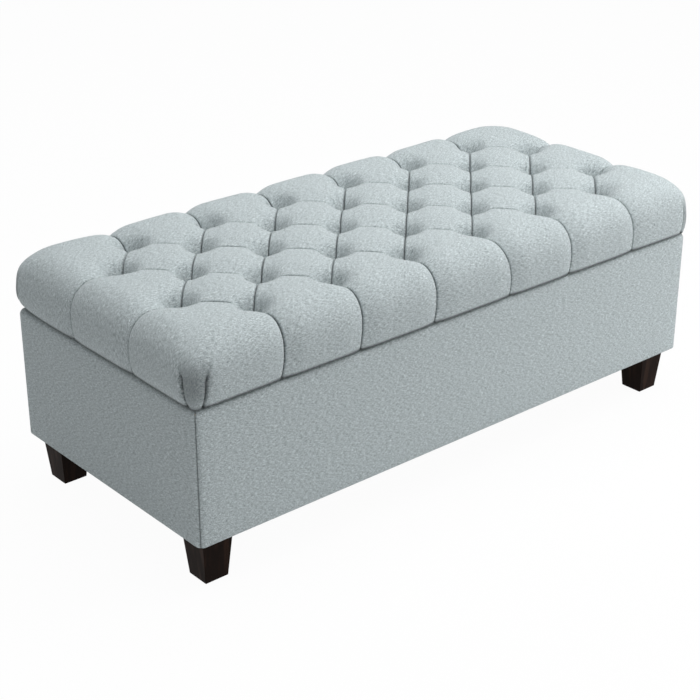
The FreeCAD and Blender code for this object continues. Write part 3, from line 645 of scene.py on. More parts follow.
def stitched_patches():
    """All the patches of the lid's cover, in one order all round."""
    work = Patchwork()
    for row in ROWS[1:-1]:
        for column in range(1, COLUMNS):
            around = [(column - 1, row), (column + 1, row), (column, row - 1), (column, row + 1)]
            if all(place in TUFTS for place in around):
                add_diamond(work, column, row)
    low, high = ROWS[0], ROWS[-1]
    for column in range(1, COLUMNS - 1, 2):
        for side, row, step in ((FRONT, low, 1), (BACK, high, -1)):
            places = [(column, row), (column + 1, row + step), (column + 2, row)]
            ends = (tuft(*places[0])[0], tuft(*places[-1])[0])
            columns = straight_columns(side, *ends, 2 * PATCH_CELLS)
            add_border(work, places, columns)
    for side, column, step in ((LEFT, 0, 1), (RIGHT, COLUMNS, -1)):
        places = [(column, low + 1), (column + step, low + 2), (column, low + 3)]
        ends = (tuft(*places[0])[1], tuft(*places[-1])[1])
        add_border(work, places, straight_columns(side, *ends, 2 * PATCH_CELLS))
    for side, row, inner_row in ((FRONT, low, low + 1), (BACK, high, high - 1)):
        for end, column, inner_column in ((LEFT, 1, 0), (RIGHT, COLUMNS - 1, COLUMNS)):
            places = [(column, row), (inner_column, inner_row)]
            columns = corner_at(side, tuft(*places[0])[0], end, tuft(*places[1])[1])
            add_border(work, places, columns)
    return work


work = stitched_patches()
print("grid points:", work.count, "quads:", len(work.faces))

# %% [markdown]
# ## The corner tongues
# A square corner leaves spare cloth.  The upholsterer folds it into a flat tongue between
# two short upright pleats, a little below the cloth on both sides of it.

# %% Depth of a corner tongue
TONGUE_DEPTH = 7.0 * MM         # below the cloth beside it, at its top
TONGUE_FOOT_DEPTH = 1.5 * MM
TONGUE_BULGE = 1.2 * MM
TONGUE_END = (0.86, 1.3)        # shares of its height between which it runs out
TONGUE_GROOVE = 7.0 * MM        # the slit on each side of it
TONGUE_GROOVE_REACH = 0.9 * MM
TONGUE_GROOVE_END = (0.8, 1.0)
TONGUE_FLAP = 1.0 * MM          # the folded cloth beside the slit stands out a little
TONGUE_FLAP_REACH = 6.0 * MM
TONGUE_SHADE = 0.42


def tongue(off, height):
    """Extra depth beside a corner's middle."""
    half = tongue_half_width(height)
    rise = (height - LID_BOTTOM) / TONGUE_TOP
    present = 1.0 - smooth_step(rise, *TONGUE_END)
    deep = TONGUE_FOOT_DEPTH + (TONGUE_DEPTH - TONGUE_FOOT_DEPTH) * np.clip(rise, 0.0, 1.0)
    inside = smooth_step(half - off, -1.2 * MM, 0.2 * MM)
    bulge = TONGUE_BULGE * np.clip(1.0 - (off / half) ** 2, 0.0, 1.0)
    line = TONGUE_GROOVE * np.exp(-np.abs(off - half) / TONGUE_GROOVE_REACH)
    line = line * (1.0 - smooth_step(rise, *TONGUE_GROOVE_END))
    beyond = (off - half - TONGUE_FLAP_REACH) / TONGUE_FLAP_REACH
    flap = TONGUE_FLAP * np.exp(-beyond ** 2)
    return present * ((deep - bulge) * inside - flap) + line


def tongue_shade(off, height):
    """The tongue lies back between its two pleats, in their shade."""
    inside = smooth_step(tongue_half_width(height) - off, -1.0 * MM, 1.0 * MM)
    rise = (height - LID_BOTTOM) / TONGUE_TOP
    present = smooth_step(rise, -0.1, 0.5) * (1.0 - smooth_step(rise, 0.75, 1.3))
    return TONGUE_SHADE * inside * present


print("tongue's depth at mid-height, mm:", np.round(
    tongue(np.array([0.0, 10.0 * MM]), LID_BOTTOM + TONGUE_TOP / 2) / MM, 1))

# %% Join the patches and press the pleats in
FOOT_HANG = 3.0 * MM        # how far the foot hangs and stands out, but not at the hinges
FOOT_SPREAD = 4.0 * MM
TONGUE_HANG = 3.5 * MM      # how much lower still a corner's tongue hangs
TONGUE_HANG_REACH = 16.0 * MM
TONGUE_CELLS = 60.0 * MM    # no part of a tongue is farther than this from its middle
TONGUE_SLIT_TOP = 0.95      # the share of its height that its slits reach
HANG_BACK = (0.20, 0.25)    # along Y, where the hang ends in front of the hinges
SPREAD_AHEAD = (0.0, 0.2)   # along Y and X, where the foot begins to stand out
SPREAD_BESIDE = (0.3, 0.55)
# counted in levels from the foot, and positive under it:
HANG_LEVELS = (-6.0, 0.0)
CALM_LEVELS = (-5.0, 0.0)
DEPTH_ENDS = (0.5, 3.0)
# where painted shade darkens the foot's round edge, over the gap above the box:
FOOT_SHADE = (-1.8, -0.2)
FOOT_SHADE_END = 2.5
PLEAT_EDGE = 1.0e-4


def hang_foot(points, past_foot, off, fade):
    """Lets the foot hang a little over the box, and the corner tongues a little more."""
    x, y = points[:, 0], points[:, 1]
    near_foot = smooth_step(past_foot, *HANG_LEVELS) * fade
    near_foot = near_foot * (1.0 - smooth_step(y, *HANG_BACK))
    tongue_part = TONGUE_HANG * np.clip(1.0 - (off / TONGUE_HANG_REACH) ** 2, 0.0, 1.0)
    ahead = smooth_step(-y, *SPREAD_AHEAD)
    beside = np.sign(x) * smooth_step(np.abs(x), *SPREAD_BESIDE)
    points[:, 2] -= (FOOT_HANG + tongue_part) * near_foot
    points[:, 0] += FOOT_SPREAD * beside * near_foot
    points[:, 1] -= FOOT_SPREAD * ahead * near_foot


def store_values(piece, name, values):
    store = piece.data.attributes.new(name, "FLOAT", "POINT")
    store.data.foreach_set("value", np.asarray(values, np.float32))


def weld(piece):
    """Merges points that lie together and turns all faces outwards."""
    shape = bmesh.new()
    shape.from_mesh(piece.data)
    bmesh.ops.remove_doubles(shape, verts=shape.verts, dist=WELD_GAP)
    bmesh.ops.recalc_face_normals(shape, faces=shape.faces)
    shape.to_mesh(piece.data)
    shape.free()
    piece.data.update()


def joined_lid(work):
    """One mesh of the patches, with the depth of each point, its distance from a pleat and its
    painted shade kept beside it.
    """
    points, flat, cloth, off, level = stacked(work.grids)
    height = points[:, 2].copy()
    past_foot = level - FOOT_LEVEL
    fade = 1.0 - smooth_step(past_foot, *DEPTH_ENDS)
    deep, fold = hollow(flat, smooth_step(past_foot, *CALM_LEVELS))
    near = off < TONGUE_CELLS
    deep[near] += tongue(off[near], height[near])
    deep *= fade
    pleat = np.full(len(points), FAR)
    for a, b in LINKS:
        pleat = np.minimum(pleat, away_from_line(flat, tuft(*a), tuft(*b))[0])
    above_foot = past_foot <= 1
    for _, _, (distance, _, _) in edge_pleats(flat):
        pleat = np.minimum(pleat, np.where(above_foot, distance, FAR))
    beside = np.abs(off - tongue_half_width(height))
    by_tongue = (height < LID_BOTTOM + TONGUE_TOP * TONGUE_SLIT_TOP) & above_foot
    pleat = np.minimum(pleat, np.where(by_tongue, beside, FAR))
    # Painted shade: in the slits beside each tongue, on the foot's round edge over the gap above
    # the box, and over the tongues
    slit = np.where(by_tongue, np.exp(-(beside / FOLD_REACH) ** 2), 0.0)
    at_foot = smooth_step(past_foot, *FOOT_SHADE) * (past_foot < FOOT_SHADE_END)
    fold = np.max([fold, slit, at_foot, tongue_shade(off, height)], axis=0)
    hang_foot(points, past_foot, off, fade)
    lid = new_object("lid_cushion", points, work.faces, cloth[np.ravel(work.faces)])
    for name, values in (("depth", deep), ("pleat", pleat), (FOLD, fold)):
        store_values(lid, name, values)
    weld(lid)
    return lid


def read(items, name, width=1, kind=np.float32):
    """One named value of every vertex, edge or other item, as an array."""
    out = np.empty(len(items) * width, kind)
    items.foreach_get(name, out)
    return out.reshape(-1, width) if width > 1 else out


def stored(piece, name):
    return read(piece.data.attributes[name].data, "value")


def sink(piece):
    """Moves every point in along its normal by its stored depth."""
    points = read(piece.data.vertices, "co", 3).astype(float)
    normals = read(piece.data.vertex_normals, "vector", 3).astype(float)
    if normals[np.argmax(points[:, 2])][2] < 0:
        piece.data.flip_normals()
        normals = -normals
    sunk = points - normals * stored(piece, "depth")[:, None]
    piece.data.vertices.foreach_set("co", sunk.astype(np.float32).ravel())
    piece.data.update()


lid = joined_lid(work)
sink(lid)
print("lid points:", len(lid.data.vertices),
      "deepest, mm:", round(1000 * float(stored(lid, "depth").max()), 1))

# %% Keep the pleats sharp
def crease_pleats(piece):
    on_pleat = stored(piece, "pleat") < PLEAT_EDGE
    ends = read(piece.data.edges, "vertices", 2, np.int32)
    both = on_pleat[ends].all(axis=1)
    store = piece.data.attributes.new("crease_edge", "FLOAT", "EDGE")
    store.data.foreach_set("value", both.astype(np.float32))
    return int(both.sum())


print("creased edges:", crease_pleats(lid))


def subdivide(piece):
    """Applies one level of subdivision surface."""
    modifier = piece.modifiers.new("smooth", "SUBSURF")
    modifier.levels = modifier.render_levels = 1
    modifier.uv_smooth = "PRESERVE_BOUNDARIES"
    view = bpy.context.evaluated_depsgraph_get()
    mesh = bpy.data.meshes.new_from_object(piece.evaluated_get(view))
    piece.modifiers.clear()
    piece.data = mesh
    mesh.shade_smooth()


def cap_open_edge(piece):
    """Closes the hole inside the hem with one flat face, hidden under the board."""
    shape = bmesh.new()
    shape.from_mesh(piece.data)
    rim = [e for e in shape.edges if len(e.link_faces) == 1]
    bmesh.ops.contextual_create(shape, geom=rim)
    shape.to_mesh(piece.data)
    shape.free()


subdivide(lid)
cap_open_edge(lid)
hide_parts("lid_cover", "lid_foam")
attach(lid, "lid")
print("lid faces:", len(lid.data.polygons))

# %% [markdown]
# ## The covers of the box
# Four lengths of linen wrap the padded box.  Each is turned under at the bottom, runs up
# its face, rolls over the padded rim and is pulled a little way down inside.  They are sewn
# together down the corners, so each one ends in the middle of a round corner.  A profile is
# swept along the side, and mitred where it is inside the corner's radius.

# %% Profile of a body cover
CORNER = 13.0 * MM
RIM = 10.0 * MM
BOTTOM_ROUND = 3.0 * MM
CLOTH = 1.2 * MM
TURN_DOWN = 26.0 * MM
TURN_IN = HALF_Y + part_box("front_cover")[1].y      # from the face to the inside of the rim


def cover_profile():
    """Inset and height of the cloth's outer side, from inside the rim to under the box."""
    line = [(TURN_IN, BODY_TOP - TURN_DOWN + k * (TURN_DOWN - 2 * MM) / 4) for k in range(5)]
    line += [(TURN_IN - 0.6 * MM, BODY_TOP - 0.6 * MM), (TURN_IN - 2.0 * MM, BODY_TOP)]
    line += [(TURN_IN - 6.0 * MM, BODY_TOP)]
    for k in range(7):
        turn = math.pi / 2 * k / 6
        line.append((RIM - RIM * math.sin(turn), BODY_TOP - RIM + RIM * math.cos(turn)))
    high, low = BODY_TOP - RIM, BODY_BOTTOM + BOTTOM_ROUND
    line += [(0.0, high + (low - high) * k / 16) for k in range(1, 16)]
    for k in range(4):
        turn = math.pi / 2 * k / 3
        inset = BOTTOM_ROUND * (1.0 - math.cos(turn))
        line.append((inset, low - BOTTOM_ROUND * math.sin(turn)))
    line += [(inset + (TURN_IN - inset) * k / 3, BODY_BOTTOM) for k in range(1, 4)]
    return np.array(line)


def inner_side(line, thickness):
    """The same line moved in by the cloth's thickness."""
    along = np.gradient(line, axis=0)
    along /= np.linalg.norm(along, axis=1)[:, None]
    return line + np.column_stack([-along[:, 1], along[:, 0]]) * thickness


def travel_of(line):
    steps = np.linalg.norm(np.diff(line, axis=0), axis=1)
    return np.concatenate([[0.0], np.cumsum(steps)])


PROFILE = cover_profile()

# %% The four covers
SEAM_DEPTH = 1.3 * MM
SEAM_REACH = 2.2 * MM
SEAM_STEPS = (0.0, 0.7, 1.6, 3.0, 5.0, 7.5)
SEAM_SHADE = 0.8
FACE_CELLS = 44
SWELL = 0.8                     # how far the padding pushes a face out, in mm
SWELL_WAVES = 0.45
SWELL_FROM_FOOT = 30.0 * MM     # the face swells over this distance from the bottom,
SWELL_FROM_RIM = (30.0 * MM, 4.0 * MM)      # between these two from the rim,
SWELL_FROM_SEAM = 50.0 * MM     # and over this one from a seam


def stations(half_length):
    """Travel from a side's middle to its seams, and the turn round the corner there."""
    straight = half_length - CORNER
    arc = CORNER * math.pi / 4
    ends = [(straight + arc - step * MM, (arc - step * MM) / CORNER) for step in SEAM_STEPS]
    run = [(straight * k / (FACE_CELLS / 2), 0.0) for k in range(FACE_CELLS // 2 + 1)]
    half = run + ends[::-1]
    return [(-u, -turn) for u, turn in half[:0:-1]] + half


def cover_point(out, half_along, half_out, u, turn, inset):
    """A point of a cover: on its face, round its corner, or mitred inside the corner."""
    along = np.array([-out[1], out[0]])
    if inset > CORNER:
        limit = half_along - inset
        return along * np.clip(u, -limit, limit) + out * (half_out - inset)
    if turn == 0.0:
        return along * u + out * (half_out - inset)
    centre = along * math.copysign(half_along - CORNER, turn) + out * (half_out - CORNER)
    way = out * math.cos(turn) + along * math.sin(turn)
    return centre + way * (CORNER - inset)


def shell_faces(count, loop):
    """Quads of a closed profile swept through a number of stations, with both ends closed."""
    faces = []
    for i in range(count - 1):
        for j in range(loop):
            k = (j + 1) % loop
            faces.append((i * loop + j, i * loop + k, (i + 1) * loop + k, (i + 1) * loop + j))
    last = (count - 1) * loop
    for j in range(loop // 2 - 1):
        k = loop - 1 - j
        faces.append((j, k, k - 1, j + 1))
        faces.append((last + j, last + j + 1, last + k - 1, last + k))
    return faces


def cover(side, seed):
    """One body cover, as a thin closed shell."""
    out = OUTWARD[side]
    half_along, half_out = (HALF_X, HALF_Y) if out[0] == 0.0 else (HALF_Y, HALF_X)
    places = stations(half_along)
    seam = places[-1][0]
    line = np.concatenate([PROFILE, inner_side(PROFILE, CLOTH)[::-1]])
    travel = travel_of(PROFILE)
    travel = np.concatenate([travel, travel[::-1]])
    on_face = smooth_step(line[:, 1], BODY_BOTTOM, BODY_BOTTOM + SWELL_FROM_FOOT)
    on_face *= 1.0 - smooth_step(line[:, 1], *[BODY_TOP - down for down in SWELL_FROM_RIM])
    inside = line[:, 0] > TURN_IN - 2 * CLOTH
    across = np.array([u for u, _ in places])[:, None]
    waves = ripples(across + 0.0 * travel, travel + 0.0 * across, seed)
    points, cloth = [], []
    for (u, turn), wave in zip(places, waves):
        from_seam = seam - abs(u)
        swell = on_face * (SWELL + SWELL_WAVES * wave) * MM
        swell *= min(from_seam / SWELL_FROM_SEAM, 1.0)
        fall = SEAM_DEPTH * math.exp(-from_seam / SEAM_REACH)
        moved = line[:, 0] + np.where(inside, 0.0, fall - swell)
        for inset, (_, height), v in zip(moved, line, travel):
            spot = cover_point(out, half_along, half_out, u, turn, inset)
            points.append((spot[0], spot[1], height))
            cloth.append((u, -v))
    faces = np.array(shell_faces(len(places), len(line)))
    made = new_object(side + "_linen", points, faces.tolist(), np.array(cloth)[faces.ravel()])
    # Painted shade in the seam, where each cover turns in to meet the next
    from_seam = seam - np.abs(np.array(cloth)[:, 0])
    store_values(made, FOLD, SEAM_SHADE * np.exp(-(from_seam / FOLD_REACH) ** 2))
    weld(made)
    node = {LEFT: "left_end_cover", RIGHT: "right_end_cover"}.get(side, side + "_cover")
    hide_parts(node)
    2 * seam
    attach(made, "box")
    return made


covers = [cover(side, 11 + n) for n, side in enumerate((FRONT, BACK, LEFT, RIGHT))]
print("covers:", [piece.name for piece in covers])

# %% [markdown]
# ## Linings and dust cover
# The storage space is lined with thin dark cloth, the lid's underside has a panel of the
# same cloth, and a thinner one closes the underside of the box.  Each is cut to its own
# outline and lies nearly flat, with the faint waves that loose cloth keeps.

# %% Flat cloths
CLOTH_CELL = 20.0 * MM
NOTCH_GAP = 1.0 * MM        # the dust cover's notches reach this far past the legs
WALL_CELL = 25.0 * MM       # of the wall lining, along it and up it
WALL_ROW = 21.0 * MM
WALL_THICKNESS = 1.0 * MM
WALL_BULGE = 0.7 * MM


def cloth_panel(name, lines_x, lines_y, keep, low, thickness, lift, seed):
    """A thin closed cloth over the kept cells of a grid, with waves of a given height."""
    columns, rows = len(lines_x), len(lines_y)
    grid_x, grid_y = np.meshgrid(lines_x, lines_y)
    x, y = grid_x.ravel(), grid_y.ravel()
    wave = (ripples(x, y, seed) * 0.5 + 0.5).clip(0.0, 1.0) * lift
    points = np.concatenate([
        np.column_stack([x, y, low + wave]),
        np.column_stack([x, y, low + wave + thickness]),
    ])
    above = rows * columns
    faces = []
    for i in range(rows - 1):
        for j in range(columns - 1):
            if not keep(i, j):
                continue
            a = i * columns + j
            b, c, d = a + 1, a + columns + 1, a + columns
            faces.append((a, d, c, b))
            faces.append((a + above, b + above, c + above, d + above))
            beside = (
                (i == 0 or not keep(i - 1, j), a, b),
                (j == columns - 2 or not keep(i, j + 1), b, c),
                (i == rows - 2 or not keep(i + 1, j), c, d),
                (j == 0 or not keep(i, j - 1), d, a),
            )
            faces += [(p, q, q + above, p + above) for edge, p, q in beside if edge]
    used = sorted({v for face in faces for v in face})
    number = {v: k for k, v in enumerate(used)}
    faces = [tuple(number[v] for v in face) for face in faces]
    points = points[used]
    corners = np.array([v for face in faces for v in face])
    return new_object(name, points, faces, points[corners, :2])


def everywhere(i, j):
    return True


def even(low, high, step):
    return np.linspace(low, high, max(int(round((high - low) / step)), 1) + 1)


def flat_cloth(name, node, body, lift, seed):
    low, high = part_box(node)
    lines_x = even(low.x, high.x, CLOTH_CELL)
    lines_y = even(low.y, high.y, CLOTH_CELL)
    made = cloth_panel(name, lines_x, lines_y, everywhere, low.z, high.z - low.z, lift, seed)
    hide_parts(node)
    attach(made, body)
    return made


floor_cloth = flat_cloth("floor_lining_cloth", "floor_lining", "box",
                         1.0 * MM, 31)
lid_cloth = flat_cloth("lid_lining_cloth", "lid_lining", "lid",
                       -0.3 * MM, 32)


def dust_cloth():
    """The thin cloth under the box, with a square notch at each leg."""
    low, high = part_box("dust_cover")
    leg_low, leg_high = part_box("leg_front_right")
    notch_x = leg_low.x - NOTCH_GAP
    notch_y = abs(leg_high.y) - NOTCH_GAP
    lines_x, lines_y = [
        np.concatenate([even(first, -notch, CLOTH_CELL), even(-notch, notch, CLOTH_CELL)[1:],
                        even(notch, last, CLOTH_CELL)[1:]])
        for first, notch, last in ((low.x, notch_x, high.x), (low.y, notch_y, high.y))
    ]

    def keep(i, j):
        x = (lines_x[j] + lines_x[j + 1]) / 2
        y = (lines_y[i] + lines_y[i + 1]) / 2
        return abs(x) < notch_x or abs(y) < notch_y

    made = cloth_panel("dust_cloth", lines_x, lines_y, keep, low.z, high.z - low.z,
                       -0.8 * MM, 33)
    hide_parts("dust_cover")
    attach(made, "box")
    return made


under_cloth = dust_cloth()


def wall_cloth():
    """The lining of the four walls: one strip, sewn to itself at a corner."""
    low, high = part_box("wall_lining")
    corners = [(low.x, low.y), (high.x, low.y), (high.x, high.y), (low.x, high.y)]
    path, ways = [], []
    for n, (x, y) in enumerate(corners):
        after = corners[(n + 1) % 4]
        run = np.array(after) - (x, y)
        length = np.linalg.norm(run)
        run = run / length
        steps = even(0.0, length, WALL_CELL)[:-1]
        path += [np.array([x, y]) + run * s for s in steps]
        inward = np.array([-run[1], run[0]])
        previous = np.array([x, y]) - corners[n - 1]
        previous = previous / np.linalg.norm(previous)
        corner_in = inward + np.array([-previous[1], previous[0]])
        ways += [corner_in] + [inward] * (len(steps) - 1)
    path, ways = np.array(path), np.array(ways)
    heights = even(low.z, high.z, WALL_ROW)
    around = travel_of(np.vstack([path, path[:1]]))
    loop = 2 * len(heights)
    points, cloth = [], []
    for n, (place, way) in enumerate(zip(path, ways)):
        for layer in (0, 1):
            for z in heights if layer == 0 else heights[::-1]:
                free = math.sin(math.pi * (z - low.z) / (high.z - low.z))
                wave = ripples(np.array([around[n]]), np.array([z]), 41)[0] * 0.5 + 0.5
                bulge = WALL_BULGE * free * min(max(wave, 0.0), 1.0)
                spot = place + way * (bulge + layer * WALL_THICKNESS)
                points.append((spot[0], spot[1], z))
                cloth.append((around[n], z))
    faces, corner_cloth = [], []
    count = len(path)
    for i in range(count):
        for j in range(loop):
            k, m = (j + 1) % loop, (i + 1) % count
            faces.append((i * loop + j, i * loop + k, m * loop + k, m * loop + j))
            far = around[i + 1]
            corner_cloth += [cloth[i * loop + j], cloth[i * loop + k],
                             (far, cloth[i * loop + k][1]), (far, cloth[i * loop + j][1])]
    made = new_object("wall_lining_cloth", points, faces, corner_cloth)
    weld(made)
    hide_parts("wall_lining")
    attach(made, "box")
    return made


wall = wall_cloth()
print("linings:", [piece.name for piece in (floor_cloth, lid_cloth, under_cloth, wall)])

# %% [markdown]
# ## Finishes
# Every finish is worked out from coordinates that travel with the piece: the cloth's own
# flat map, or the piece's own space.  Effects that several finishes share are node groups
# with named sockets, and each finish sets its own values on them.

# %% Node helpers
SOCKET_KINDS = {"value": "NodeSocketFloat", "vector": "NodeSocketVector"}


class Number:
    """A number socket that takes part in plain sums, with one math node for each sign."""

    def __init__(self, tree, socket):
        self.tree = tree
        self.socket = socket

    def __add__(self, other):
        return calc(self.tree, "ADD", self, other)

    def __mul__(self, other):
        return calc(self.tree, "MULTIPLY", self, other)

    def __rsub__(self, other):
        return calc(self.tree, "SUBTRACT", other, self)


def feed(tree, socket, value):
    """Links a socket's value, or sets it when it is a plain number or colour."""
    if isinstance(value, Number):
        value = value.socket
    if isinstance(value, bpy.types.NodeSocket):
        tree.links.new(value, socket)
    else:
        socket.default_value = value


def calc(tree, kind, *values, clamp=False):
    node = tree.nodes.new("ShaderNodeMath")
    node.operation = kind
    node.use_clamp = clamp
    for socket, value in zip(node.inputs, values):
        feed(tree, socket, value)
    return Number(tree, node.outputs[0])


def on_vector(tree, kind, first, second):
    """A vector or colour changed by another one, or scaled by a number."""
    node = tree.nodes.new("ShaderNodeVectorMath")
    node.operation = kind
    feed(tree, node.inputs[0], first)
    feed(tree, node.inputs["Scale" if kind == "SCALE" else 1], second)
    return node.outputs[0]


def noise(tree, vector, scale, detail, rough=0.5, flat=False):
    node = tree.nodes.new("ShaderNodeTexNoise")
    node.noise_dimensions = "2D" if flat else "3D"
    feed(tree, node.inputs["Vector"], vector)
    feed(tree, node.inputs["Scale"], scale)
    node.inputs["Detail"].default_value = detail
    node.inputs["Roughness"].default_value = rough
    return Number(tree, node.outputs["Fac"])


def remap(tree, value, low, high, to_low=0.0, to_high=1.0):
    node = tree.nodes.new("ShaderNodeMapRange")
    labels = ("Value", "From Min", "From Max", "To Min", "To Max")
    for label, number in zip(labels, (value, low, high, to_low, to_high)):
        feed(tree, node.inputs[label], number)
    return Number(tree, node.outputs[0])


def new_group(name, inputs, outputs):
    """A shader node group with named inputs, and with numbers as its outputs."""
    tree = bpy.data.node_groups.new(name, "ShaderNodeTree")
    for label, kind, default in inputs:
        socket = tree.interface.new_socket(label, in_out="INPUT", socket_type=SOCKET_KINDS[kind])
        if default is not None:
            socket.default_value = default
    for label in outputs:
        tree.interface.new_socket(label, in_out="OUTPUT", socket_type=SOCKET_KINDS["value"])
    sockets = tree.nodes.new("NodeGroupInput").outputs
    given = [Number(tree, s) if entry[1] == "value" else s for s, entry in zip(sockets, inputs)]
    return tree, given, tree.nodes.new("NodeGroupOutput").inputs


print("kinds of socket in a group:", list(SOCKET_KINDS))

# %% Woven cloth
def woven_group():
    """A plain weave of uneven threads.  Gives a shade from 0 to 1, the threads' own tone with
    painted shade between them, and a height.
    """
    tree, (cloth, per_metre, slub), out = new_group(
        "plain_weave",
        [("Cloth", "vector", None), ("Threads per metre", "value", 900.0),
         ("Slub", "value", 0.5)],
        ["Shade", "Height"],
    )
    scaled = on_vector(tree, "SCALE", cloth, per_metre)
    wander = noise(tree, scaled, 0.05, 1.0, flat=True)
    threads = on_vector(tree, "ADD", scaled, wander * 3.0)
    parts = tree.nodes.new("ShaderNodeSeparateXYZ")
    feed(tree, parts.inputs[0], threads)
    wave_x, wave_y = [
        calc(tree, "SINE", Number(tree, parts.outputs[k]) * math.pi) for k in (0, 1)
    ]
    over = calc(tree, "GREATER_THAN", wave_x * wave_y, 0.0)
    under = 1.0 - over
    height = calc(tree, "ABSOLUTE", wave_x) * over + calc(tree, "ABSOLUTE", wave_y) * under
    # long streaks along the warp and the weft, and a few thicker slubs
    along_warp, along_weft, thick = [
        noise(tree, on_vector(tree, "MULTIPLY", threads, size), 1.0, detail, rough, True)
        for size, detail, rough in (
            ((1.7, 0.26, 1.0), 2.0, 0.6),
            ((0.26, 1.7, 1.0), 2.0, 0.6),
            ((0.14, 1.1, 1.0), 1.0, 0.5),
        )
    ]
    thread = along_warp * over + along_weft * under
    both = remap(tree, thread, 0.37, 0.63) + remap(tree, thick, 0.35, 0.65) * slub
    shade = calc(tree, "DIVIDE", both, slub + 1.0, clamp=True)
    # the threads' own tone, painted darker in the gaps between threads and lighter on their
    # crowns
    feed(tree, out["Shade"], shade * (height * 0.5 + 0.6))
    feed(tree, out["Height"], height + thread * 0.8)
    return tree


WEAVE = woven_group()
print("nodes in the weave:", len(WEAVE.nodes))

# %% Wood grain
def wood_group():
    """Long grain with wandering rings.  Gives a light to dark share and a height."""
    tree, (place, size, rings), out = new_group(
        "wood_grain",
        [("Place", "vector", None), ("Stretch", "vector", (1.0, 10.0, 10.0)),
         ("Rings", "value", 6.0)],
        ["Grain", "Height"],
    )
    scaled = on_vector(tree, "MULTIPLY", place, size)
    wander = noise(tree, scaled, rings, 3.0, 0.55)
    bands = remap(tree, calc(tree, "SINE", wander * 22.0), -1.0, 1.0)
    pores = noise(tree, scaled, 60.0, 2.0, 0.7)
    feed(tree, out["Grain"], bands * 0.6 + pores * 0.4)
    feed(tree, out["Height"], bands * 0.2 + pores * 0.8)
    return tree


WOOD = wood_group()
print("nodes in the grain:", len(WOOD.nodes))

# %% Fine mottling, for metal, rubber, plastic and foam
def mottle_group():
    """Broad clouds and a fine grain.  Gives a share from 0 to 1 and a height."""
    tree, (place, clouds, grain, brushing), out = new_group(
        "mottle",
        [("Place", "vector", None), ("Clouds", "value", 30.0), ("Grain", "value", 900.0),
         ("Brushing", "vector", (1.0, 1.0, 1.0))],
        ["Share", "Height"],
    )
    broad = noise(tree, place, clouds, 4.0, 0.6)
    fine = noise(tree, on_vector(tree, "MULTIPLY", place, brushing), grain, 2.0, 0.6)
    feed(tree, out["Share"], remap(tree, broad, 0.3, 0.7) * 0.6 + fine * 0.4)
    feed(tree, out["Height"], fine)
    return tree


MOTTLE = mottle_group()
print("shared effects:", [group.name for group in (WEAVE, WOOD, MOTTLE)])

# %% A finish
class Finish:
    """A material with a principled shader, dressed by one of the shared effects."""

    def __init__(self, name, roughness, metallic=0.0, specular=0.5):
        self.material = bpy.data.materials.new(name)
        self.material.use_nodes = True
        self.tree = self.material.node_tree
        self.shader = self.tree.nodes["Principled BSDF"]
        self.shader.inputs["Roughness"].default_value = roughness
        self.shader.inputs["Metallic"].default_value = metallic
        self.shader.inputs["Specular IOR Level"].default_value = specular

    def dress(self, effect, colors, relief, worn=None, **values):
        """Colour, relief and wear from a shared effect, which gives a share and a height."""
        node = self.tree.nodes.new("ShaderNodeGroup")
        node.node_tree = effect
        feed(self.tree, node.inputs[0], self.cloth() if effect is WEAVE else self.place())
        for label, value in values.items():
            feed(self.tree, node.inputs[label.replace("_", " ")], value)
        share, height = node.outputs
        if worn:
            value = remap(self.tree, share, 0.0, 1.0, *worn)
            feed(self.tree, self.shader.inputs["Roughness"], value)
        self.bump(height, *relief)
        return self.color(share, colors)

    def place(self):
        return self.tree.nodes.new("ShaderNodeTexCoord").outputs["Object"]

    def cloth(self):
        node = self.tree.nodes.new("ShaderNodeUVMap")
        node.uv_map = CLOTH_MAP
        return node.outputs[0]

    def color(self, share, stops):
        """Base colour from a share, through evenly spread colours."""
        ramp = self.tree.nodes.new("ShaderNodeValToRGB")
        while len(ramp.color_ramp.elements) < len(stops):
            ramp.color_ramp.elements.new(0.5)
        for k, (element, stop) in enumerate(zip(ramp.color_ramp.elements, stops)):
            element.position = k / (len(stops) - 1)
            element.color = (*stop, 1.0)
        self.tree.links.new(share, ramp.inputs[0])
        self.tree.links.new(ramp.outputs[0], self.shader.inputs["Base Color"])
        return ramp.outputs[0]

    def bump(self, height, distance, strength):
        node = self.tree.nodes.new("ShaderNodeBump")
        node.inputs["Distance"].default_value = distance
        node.inputs["Strength"].default_value = strength
        self.tree.links.new(height, node.inputs["Height"])
        self.tree.links.new(node.outputs[0], self.shader.inputs["Normal"])


def from_screen(*colors):
    """Colours given in 0 to 255 screen values, as the shader wants them."""
    def linear(value):
        value = value / 255.0
        return value / 12.92 if value <= 0.04045 else ((value + 0.055) / 1.055) ** 2.4
    return [tuple(linear(value) for value in color) for color in colors]


def finished(name, effect, colors, relief, roughness, metallic=0.0, specular=0.5, **values):
    finish = Finish(name, roughness, metallic, specular)
    finish.dress(effect, colors, relief, **values)
    return finish.material


FINISHES = {}
print("a screen's middle grey is", np.round(from_screen((128, 128, 128))[0][0], 3), "here")

# %% [markdown]
# ## The linen
# The bench is covered in a pale blue-grey linen-look cloth.  Its threads vary in tone and
# thickness, which reads as a fine mottling from a distance, with a few thicker slubs.  Where
# two folds of cloth meet, hardly any light gets in, so the mesh keeps a value, fold, that
# paints shade there: it blends the cloth into a much darker tone of itself.  The same value
# paints shade round the tufts, on the lid's foot, on the corner tongues and in the seams.
# The lining is a finer black weave.

# %% Linen
# How dark the painted shade is, as a share of the open cloth's colour
FOLD_SHADE_TONE = (0.16, 0.16, 0.16)


